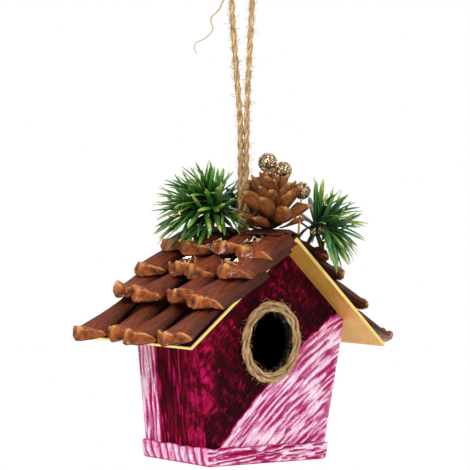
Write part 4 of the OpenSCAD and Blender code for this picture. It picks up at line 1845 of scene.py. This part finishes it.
@dataclass
class Roof:
    """The two gold panels and the rows of scales that lie on them like shingles."""

    shop: Workshop
    rows: tuple[Course, ...] = (
        Course(tip=74.5, length=33.0, tilt=3.5),
        Course(tip=52.5, length=33.0, tilt=7.5),
        Course(tip=36.0, length=30.0, tilt=7.5),
        Course(tip=21.5, length=21.0, tilt=7.5, lift=1.35),
    )
    per_row: int = 4
    pitch: float = 15.4
    stagger: float = 1.3
    eave_droop: float = 0.3
    end_droop: float = 2.4
    edge_bevel: float = 0.25

    @staticmethod
    def wobble(seed: int) -> float:
        """A number from -1 to 1 that looks irregular."""
        return math.sin(math.radians(seed * 137.5))

    def row(self, side: Side, number: int) -> None:
        """Lays one row of scales.

        Args:
            side: The slope.
            number: The row, from 1 at the eave.
        """
        course = self.rows[number - 1]
        slope = HOUSE.slope_frame(side)
        side_seed = 2 if side is Side.LEFT else 1
        places, templates = Places(), []
        for i in range(self.per_row):
            seed = 10 * side_seed + 4 * number + i
            y = HOUSE.exit_y + (i - (self.per_row - 1) / 2) * self.pitch
            inner = 0 < i < self.per_row - 1
            bare = side is Side.RIGHT and i == 0
            run = course.tip + self.stagger * (-1) ** (i + number) + (1.4 if inner else 0.7) * self.wobble(seed)
            foot = Vector((run - course.length, side.value * y, HOUSE.panel_t + course.lift + 0.5))
            spin = math.radians((5 if inner else 1.5) * self.wobble(seed + 3))
            roll = side.value * math.radians(5 + 3 * self.wobble(seed + 7))
            pitch = -math.radians(course.tilt + (2.2 if inner else 1.2) * self.wobble(seed + 5))
            turn = slope @ Euler((roll, pitch, spin)).to_matrix()
            spot = slope @ foot + Vector((0, 0, HOUSE.apex))
            places.add(spot, turn, (1, 1, 1), i, self.wobble(seed + 11) * 0.5 + 0.5)
            overhang = self.eave_droop if number == 1 else self.end_droop
            droop = 0.0 if inner or bare else overhang
            edge = side.value if i else -side.value
            templates.append(RoofScale(course.length).shape(seed, droop, edge).template(f"scale_{seed}_{i}"))
        name = f"{side.name.lower()}_shingles_{number}"
        piece = self.shop.placed.grow(
            places.base(name), name, self.shop.scale, Templates=collected(name, templates))
        kept(piece, "scale", f"{side.name.lower()}_scales_row_{number}")

    def panel(self, side: Side) -> None:
        """Softens a panel's cut edges and marks them for a painted highlight, and marks its top face for painted
        shade under the scales.

        Args:
            side: The slope.
        """
        node = f"{side.name.lower()}_roof_panel"
        piece = shown(f"{side.name.lower()}_gold_panel", frame["nodes"][node].data.copy())
        work = bmesh.new()
        work.from_mesh(piece.data)
        bmesh.ops.remove_doubles(work, verts=work.verts, dist=1e-6)
        bmesh.ops.dissolve_limit(work, angle_limit=0.02, verts=work.verts, edges=work.edges)
        sharp = [e for e in work.edges if e.is_manifold and e.calc_face_angle(0) > 0.6]
        bevel = self.edge_bevel * MM
        bmesh.ops.bevel(work, geom=sharp, offset=bevel, segments=2, affect="EDGES", clamp_overlap=True)
        bmesh.ops.triangulate(work, faces=[f for f in work.faces if len(f.verts) > 4])
        normal = HOUSE.slope_frame(side).col[2]
        # The edge mark places the painted highlight, and the outer mark the painted shade on the top face.
        cut, outer = (work.faces.layers.float.new(mark) for mark in ("edge", "outer"))
        for face in work.faces:
            facing = face.normal.dot(normal)
            face[cut] = 0.0 if abs(facing) > 0.8 else 1.0
            face[outer] = 1.0 if facing > 0.8 else 0.0
        work.to_mesh(piece.data)
        work.free()
        dressed(piece, self.shop.gold)
        kept(piece, "gold_card", node)

    def build(self) -> None:
        """Makes both slopes."""
        for side in Side:
            self.panel(side)
            for number in range(1, len(self.rows) + 1):
                self.row(side, number)


# ---------- ridge trim ----------


@dataclass
class Cone:
    """A small pine cone on its stalk."""

    shop: Workshop
    name: str
    finish: Material
    radius: float
    height: float
    tilt: Triple
    count: int
    seed: int
    sink: float
    opening: Pair = (-0.15, 1.42)

    def petal(self) -> Shape:
        """One scale of the cone: a long, cupped plate with a narrow end.

        Returns:
            The scale in millimetres, along X.
        """
        length, width = self.radius * 1.2, self.radius * 0.56
        stations, sides = 18, 18
        u = np.linspace(0, 1, stations)[:, None]
        turn = round_turn(sides)[None, :]
        v = np.cos(turn) + 0 * u
        stops = [0, 0.25, 0.5, 0.68, 0.85, 0.95, 1]
        half = np.interp(u, stops, [0.3, 0.62, 0.96, 1.0, 0.68, 0.32, 0.06]) * width / 2
        thick = np.interp(u, [0, 0.6, 0.85, 0.95, 1], [0.4, 0.3, 0.4, 0.3, 0.1])
        cup = 1.8 * u * u + 0.3 * width * (v * v) * ramp(u, 0.1, 0.6) * (1 - 0.6 * ramp(u, 0.8, 1))
        z = cup + 0.5 * thick * np.sin(turn)
        points = np.stack([u * length + 0 * v, half * v, z], -1).reshape(-1, 3)
        under = ramp(-np.sin(turn), -0.2, 0.4)
        # The keel mark paints a highlight on the petal's end, and its low along values darken its foot as painted
        # shade between the petals.
        marks = {
            "tip": ramp(u, 0.1, 0.5) * (0.25 + 0.75 * under) + ramp(u, 0.85, 0.95) * 0.6,
            "keel": 0.7 * ramp(u, 0.9, 0.98) + 0 * v,
            "along": u + 0 * v,
            "across": v * 0.5,
        }
        return Shape(points, capped(stations, sides), {k: np.clip(m, 0, 1).ravel() for k, m in marks.items()})

    def build(self, node: str) -> None:
        """Makes the cone where its CAD node stands.

        Args:
            node: The CAD node.
        """
        low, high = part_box(node)
        foot = ((low.x + high.x) / 2, (low.y + high.y) / 2, low.z - self.sink * MM)
        base = shown(f"{self.name}_base", bpy.data.meshes.new(f"{self.name}_base"))
        base.data.from_pydata([(0, 0, 0)], [], [])
        piece = self.shop.whorl.grow(
            base, self.name, self.finish, Template=self.petal().template(f"{self.name}_petal"), Count=self.count,
            Radius=self.radius * MM, Height=self.height * MM, Open_Angle=self.opening[0], Shut_Angle=self.opening[1],
            Tilt=self.tilt, Foot=foot, Seed=self.seed,
        )
        kept(piece, "cone", node)


@dataclass
class Sprig:
    """A moulded pine sprig: a stem with a bud, and flat needles that radiate from it."""

    shop: Workshop
    name: str
    foot: Triple
    head: Triple
    middle: Triple
    count: int
    longest: float
    seed: int
    lean: Triple = (0.0, 0.0, 0.0)
    reaches: tuple[Triple, ...] = ()
    bends: Triple = (-8.0, -3.5, 4.0)

    def needle(self, bend: float) -> Shape:
        """A needle one unit long in its length and in millimetres across: a narrow blade with a fold.

        Args:
            bend: How far its tip curls.

        Returns:
            The needle along X.
        """
        stations = 11
        u = np.linspace(0, 1, stations)
        half = np.interp(u, [0, 0.15, 0.75, 0.92, 1], [0.5, 0.88, 1.0, 0.75, 0.15])
        thick = np.interp(u, [0, 0.8, 1], [0.5, 0.42, 0.12])
        curl = bend * u**2
        ring = np.array([(-1, 0.15), (-0.35, 0.75), (0, 0.45), (0.35, 0.75), (1, 0.15), (0, -0.85)])
        x = np.repeat(u, len(ring))
        y = np.outer(half, ring[:, 0]).ravel()
        z = np.outer(thick, ring[:, 1]).ravel() + np.repeat(curl, len(ring))
        return Shape(np.stack([x, y, z], 1), capped(stations, len(ring)), {"along": x})

    @staticmethod
    def clear(line: Array) -> bool:
        """Whether a needle stays above the scales and out of the twine's way.

        Args:
            line: Its middle line in house millimetres.

        Returns:
            True if it does.
        """
        floor = HOUSE.ridge + np.interp(np.abs(line[:, 0]), [0, 9.2, 21.5, 25, 54], [4.6, -0.2, -5.1, -7.4, -30.1])
        over = np.abs(line[:, 1]) < 31
        return not ((line[:, 2] < floor) & over).any() and not HOUSE.in_twine_room(line).any()

    def burst(self) -> Places:
        """Places the needles round the stem, leaving out those that would meet the roof or the twine.

        Returns:
            The needles' places.
        """
        draw = np.random.default_rng(self.seed)
        foot, head, middle = Vector(self.foot), Vector(self.head), Vector(self.middle)
        places, tried = Places(), 0
        steps = np.linspace(0, 1, 12)[:, None]
        tips = [Vector(reach) for reach in self.reaches]
        while len(places.spots) < self.count and tried < 8 * self.count:
            rise = 1 - 2 * ((tried * 0.7548777) % 1)
            angle = 2 * math.pi * ((tried * 0.5698403) % 1)
            level = math.sqrt(1 - rise * rise)
            way = (Vector((level * math.cos(angle), level * math.sin(angle), rise)) + Vector(self.lean)).normalized()
            spot = foot.lerp(head, draw.uniform(0.3, 1.0))
            tip = middle + way * self.longest * draw.uniform(0.78, 1.0)
            kind = tried % 3 if rise > 0 else 0
            if tried < len(tips):
                tip, kind = tips[tried], 1
            aim = tip - spot
            turn = aim.to_track_quat("X", "Z").to_matrix() @ Euler((draw.uniform(-0.7, 0.7), 0, 0)).to_matrix()
            spot = spot - Vector(turn.col[2]) * self.bends[kind] * 0.3
            line = np.array(spot) + steps * np.array(aim) + steps**2 * self.bends[kind] * np.array(turn.col[2])
            tried += 1
            if aim.length < 0.45 * self.longest or not self.clear(line):
                continue
            places.add(spot, turn, (aim.length, 1, 1), kind, draw.random())
        log.info("%s: %d needles of %d tried", self.name, len(places.spots), tried)
        return places

    def build(self, stem_node: str, needles_node: str) -> None:
        """Makes the stem, its bud and the needles.

        Args:
            stem_node: The CAD node of the stem.
            needles_node: The CAD node of the room that the needles fill.
        """
        name = self.name
        templates = [self.needle(bend).template(f"{name}_needle_{i}") for i, bend in enumerate(self.bends)]
        places = self.burst()
        needles = self.shop.placed.grow(
            places.base(name), f"{name}_needles", self.shop.needle, Templates=collected(name, templates))
        kept(needles, "needle", needles_node)
        path = smooth_path([self.foot, tuple(Vector(self.foot).lerp(Vector(self.head), 0.5)), self.head], 5)
        stem = dressed(swept(path, np.linspace(0.8, 0.6, len(path)), 10).piece(f"{name}_twig"), self.shop.twig)
        kept(stem, "twig", stem_node)
        ahead = (Vector(self.head) - Vector(self.foot)).normalized()
        tip = [Vector(self.head) + ahead * d for d in (-1.0, 0.2, 1.4, 2.6, 3.4)]
        bud = swept(np.array([tuple(p) for p in tip]), np.array([0.5, 1.3, 1.5, 1.0, 0.2]), 10)
        kept(dressed(bud.piece(f"{name}_bud"), self.shop.bud), "twig")


@dataclass
class Berries:
    """Glitter-coated balls on gilt wires."""

    shop: Workshop
    shift: Triple = (-1.0, 1.0, -0.5)

    def ball(self, middle: Array, radius: float) -> Shape:
        """A slightly uneven ball.

        Args:
            middle: Its middle in house millimetres.
            radius: Its radius.

        Returns:
            The ball.
        """
        rows, columns = 15, 28
        up = np.linspace(0.02, math.pi - 0.02, rows)[:, None]
        turn = round_turn(columns)[None, :]
        r = radius * (1 + 0.03 * (Grain(int(radius * 100))(up * 3, turn * 3) - 0.5))
        x, y, z = r * np.sin(up) * np.cos(turn), r * np.sin(up) * np.sin(turn), -r * np.cos(up) + 0 * turn
        return Shape(np.stack([x, y, z], -1).reshape(-1, 3) + middle, capped(rows, columns), {})

    def build(self) -> None:
        """Makes the balls, their grains and their wires, where the CAD has them."""
        balls, wires = self.parts("glitter_berries"), self.parts("berry_stems")
        shift = np.array(self.shift)
        shapes = [self.ball((low + high) / 2 + shift, float((high - low)[0]) / 2 * 0.96) for low, high in balls]
        core = Shape.joined(shapes)
        core.marks["shade"] = np.full(len(core.points), 0.15)
        cores = dressed(core.piece("berry_cores"), self.shop.glitter)
        rim = round_turn(6)
        plate = np.array([(0.3 * math.cos(a), 0.3 * math.sin(a), z) for z in (0.02, 0.12) for a in rim])
        grain = Shape(plate, capped(2, 6), {}).template("glitter_grain", smooth=False)
        base = shown("berry_base", cores.data.copy())
        base.data.attributes.remove(base.data.attributes["shade"])
        grains = self.shop.scattered.grow(
            base, "berry_glitter", self.shop.glitter, Template=grain, Density=5.0e6, Smallest=0.8, Largest=1.5,
            Lean=0.5, Seed=4)
        kept(cores, "glitter", "glitter_berries")
        kept(grains, "glitter")
        lines = []
        for (low, high), (ball_low, ball_high) in zip(wires, balls):
            head = (ball_low + ball_high) / 2 + shift
            flip = [high[k] if head[k] < (low[k] + high[k]) / 2 else low[k] for k in (0, 1)]
            foot = np.array([flip[0], flip[1], low[2] + 0.3])
            lines.append(swept(smooth_path([foot, (foot + head) / 2 + (0.3, 0.2, 0.4), head], 6), 0.45, 8))
        kept(dressed(Shape.joined(lines).piece("berry_wires"), self.shop.wire), "wire", "berry_stems")

    @staticmethod
    def parts(node: str) -> list[tuple[Array, Array]]:
        """Finds the separate solids in a CAD node.

        Args:
            node: The CAD node.

        Returns:
            Each solid's lowest and highest corner in house millimetres, the lowest solid first.
        """
        work = bmesh.new()
        work.from_mesh(frame["nodes"][node].data)
        bmesh.ops.remove_doubles(work, verts=work.verts, dist=1e-6)
        left, boxes = set(work.verts), []
        while left:
            group, edge = set(), [left.pop()]
            while edge:
                vert = edge.pop()
                group.add(vert)
                near = {e.other_vert(vert) for e in vert.link_edges} & left
                left -= near
                edge.extend(near)
            co = (np.array([tuple(v.co) for v in group]) - HOUSE.origin) / MM
            boxes.append((co.min(0), co.max(0)))
        work.free()
        return sorted(boxes, key=lambda b: b[1][2])


@dataclass
class Tinsel:
    """Shreds of gold foil that lie on the scales and in the sprigs."""

    shop: Workshop
    seed: int = 12

    def shred(self, seed: int) -> Shape:
        """A crumpled three-sided loop of thin foil ribbon.

        Args:
            seed: The draw.

        Returns:
            The shred in millimetres.
        """
        draw = np.random.default_rng(seed)
        corners = [np.array([math.cos(a), math.sin(a), 0]) * draw.uniform(1.5, 2.4) for a in
                   round_turn(3) + draw.uniform(-0.4, 0.4, 3)]
        ribs, wide = [], 0.38
        for k, corner in enumerate(corners):
            after = corners[(k + 1) % 3]
            for t in (0.0, 0.33, 0.66):
                spot = corner + (after - corner) * t
                spot = spot + (0, 0, draw.uniform(-0.35, 0.5))
                inner = spot * (1 - wide / max(np.linalg.norm(spot), 0.4) * 1.3)
                ribs.append((spot, inner, inner + (0, 0, 0.14), spot + (0, 0, 0.14)))
        points = np.array(ribs).reshape(-1, 3)
        count = len(ribs)
        faces = [
            (i * 4 + j, ((i + 1) % count) * 4 + j, ((i + 1) % count) * 4 + (j + 1) % 4, i * 4 + (j + 1) % 4)
            for i in range(count) for j in range(4)
        ]
        return Shape(points, faces, {})

    @staticmethod
    def settled(spots: Sequence[Pair], under: Sequence[Object], gap: float = 0.9) -> list[Array]:
        """Drops spots onto the roof.

        Args:
            spots: Their X and Y in house millimetres.
            under: The pieces that they may come to rest on.
            gap: How far their middles stay above.

        Returns:
            Their places.
        """
        graph = bpy.context.evaluated_depsgraph_get()
        trees = [BVHTree.FromObject(piece, graph) for piece in under]
        rests = []
        for x, y in spots:
            start = Vector(HOUSE.at((x, y, HOUSE.ridge + 60)))
            hits = [hit for hit in (tree.ray_cast(start, Vector((0, 0, -1)))[0] for tree in trees) if hit]
            if hits:
                rests.append((np.array(max(hits, key=lambda hit: hit.z)) - HOUSE.origin) / MM + (0, 0, gap))
        return rests

    def build(self, resting: Sequence[Pair], hung: Sequence[Triple]) -> None:
        """Lays the shreds.

        Args:
            resting: Where they lie on the scales, seen from above.
            hung: Where they hang in the sprigs.
        """
        draw = np.random.default_rng(self.seed)
        places = Places()
        roof = [piece for piece in bpy.context.scene.objects if "_shingles_" in piece.name]
        for spot in [*self.settled(resting, roof), *hung]:
            turn = Euler(draw.uniform(-1.2, 1.2, 3)).to_matrix()
            places.add(spot, turn, [draw.uniform(0.8, 1.2)] * 3, int(draw.integers(0, 4)), draw.random())
        templates = [self.shred(self.seed + k).template(f"shred_{k}", smooth=False) for k in range(4)]
        piece = self.shop.placed.grow(
            places.base("tinsel"), "foil_shreds", self.shop.foil, Templates=collected("shreds", templates))
        kept(outwards(piece), "glitter")


@dataclass
class Glue:
    """The beds of hot glue astride the ridge, dark amber brown as painted shade."""

    shop: Workshop
    share: float = 0.8
    height: float = 0.6
    voxel: float = 0.55

    def build(self) -> None:
        """Gives the CAD beds a softened, lumpy copy."""
        for end in ("front", "rear"):
            node = f"{end}_glue"
            piece = shown(f"{end}_glue_bed", frame["nodes"][node].data.copy())
            work = bmesh.new()
            work.from_mesh(piece.data)
            bmesh.ops.remove_doubles(work, verts=work.verts, dist=1e-6)
            bmesh.ops.recalc_face_normals(work, faces=work.faces)
            middle = sum((v.co.y for v in work.verts), 0.0) / len(work.verts)
            ridge = float(HOUSE.at((0, 0, HOUSE.ridge))[2])
            for vert in work.verts:
                vert.co.y = middle + (vert.co.y - middle) * self.share
                vert.co.z = ridge + (vert.co.z - ridge) * self.height
            work.to_mesh(piece.data)
            work.free()
            skin = piece.modifiers.new("skin", "REMESH")
            skin.mode, skin.voxel_size = "VOXEL", self.voxel * MM
            piece.modifiers.new("softened", "SMOOTH").iterations = 3
            graph = bpy.context.evaluated_depsgraph_get()
            solid = bpy.data.meshes.new_from_object(piece.evaluated_get(graph), depsgraph=graph)
            piece.modifiers.clear()
            piece.data = solid
            solid.polygons.foreach_set("use_smooth", [True] * len(solid.polygons))
            kept(dressed(piece, self.shop.glue), "glue", node)


def main() -> None:
    """Builds the studio and every sub-assembly."""
    logging.basicConfig(level=logging.INFO, format="%(message)s")
    studio = Studio()
    studio.camera()
    shop = Workshop()
    hanger = Hanger(shop)
    hanger.cord()
    hanger.stopper()
    Shell(shop).build()
    Velvet(shop).build()
    Entrance(shop, hanger).build()
    Roof(shop).build()
    ridge = HOUSE.ridge
    front_cone = Cone(
        shop, "front_pine_cone", shop.cone, radius=11.5, height=26.5, tilt=(-0.16, 0.14, 0.9), count=46, seed=3,
        sink=5.6,
    )
    front_cone.build("front_cone")
    rear_cone = Cone(
        shop, "rear_pine_cone", shop.dark_cone, radius=9.7, height=24.0, tilt=(-0.1, -0.35, 1.9), count=50, seed=8,
        sink=1.0,
    )
    rear_cone.build("rear_cone")
    left = Sprig(
        shop, "left_sprig", foot=(-3, 13, ridge + 4.6), head=(-10, 12, ridge + 11), middle=(-9.5, 13, ridge + 7),
        count=165, longest=23.5, seed=5,
        reaches=(
            (-7.5, -9.5, ridge + 6), (-6.8, -9, ridge + 3.5), (-7.4, -8, ridge + 8.5), (-6.2, -10.5, ridge + 2),
            (-8.4, -9.5, ridge + 10), (-9, -10, ridge + 4.8), (-5.6, -9.2, ridge + 5), (-8.2, -10.2, ridge + 7.4),
        ),
    )
    left.build("left_sprig_stem", "left_sprig_needles")
    right = Sprig(
        shop, "right_sprig", foot=(13.5, -24.5, ridge + 0.6), head=(15, -26.5, ridge + 4.5),
        middle=(11, -26, ridge + 3.5), count=90, longest=22, seed=6, lean=(0.8, -0.3, 0.0),
    )
    right.build("right_sprig_stem", "right_sprig_needles")
    Berries(shop).build()
    Tinsel(shop).build(
        resting=(
            (-19.4, 8.5), (-17.4, 7.0), (-18.5, 5.6), (-16.2, 2.7), (-12.8, -14.3), (-14.3, -20.8),
            (-11.5, -21.4), (-13.2, -17.6), (-24.4, 1.9), (-26.5, 4.8), (-28.1, -18.3), (-29.3, -23.7),
            (-31.2, -23.6), (-27.5, -24.0), (-30.2, -20.6), (-21.0, 9.8),
        ),
        hung=(
            (-28, 13, ridge + 6), (-25.5, 10.5, ridge + 8.5), (-19.8, -0.4, ridge + 5), (-16.4, -2.5, ridge - 3.2),
            (5, -33.9, ridge + 2.2), (7.5, -35, ridge + 3.4), (9.2, -36.5, ridge - 1.3), (11.6, -33.3, ridge + 13.4),
            (8.7, -25, ridge + 17.5), (13.6, -26.9, ridge + 17.5),
        ),
    )
    Glue(shop).build()
    studio.build()


if __name__ == "__main__":
    main()
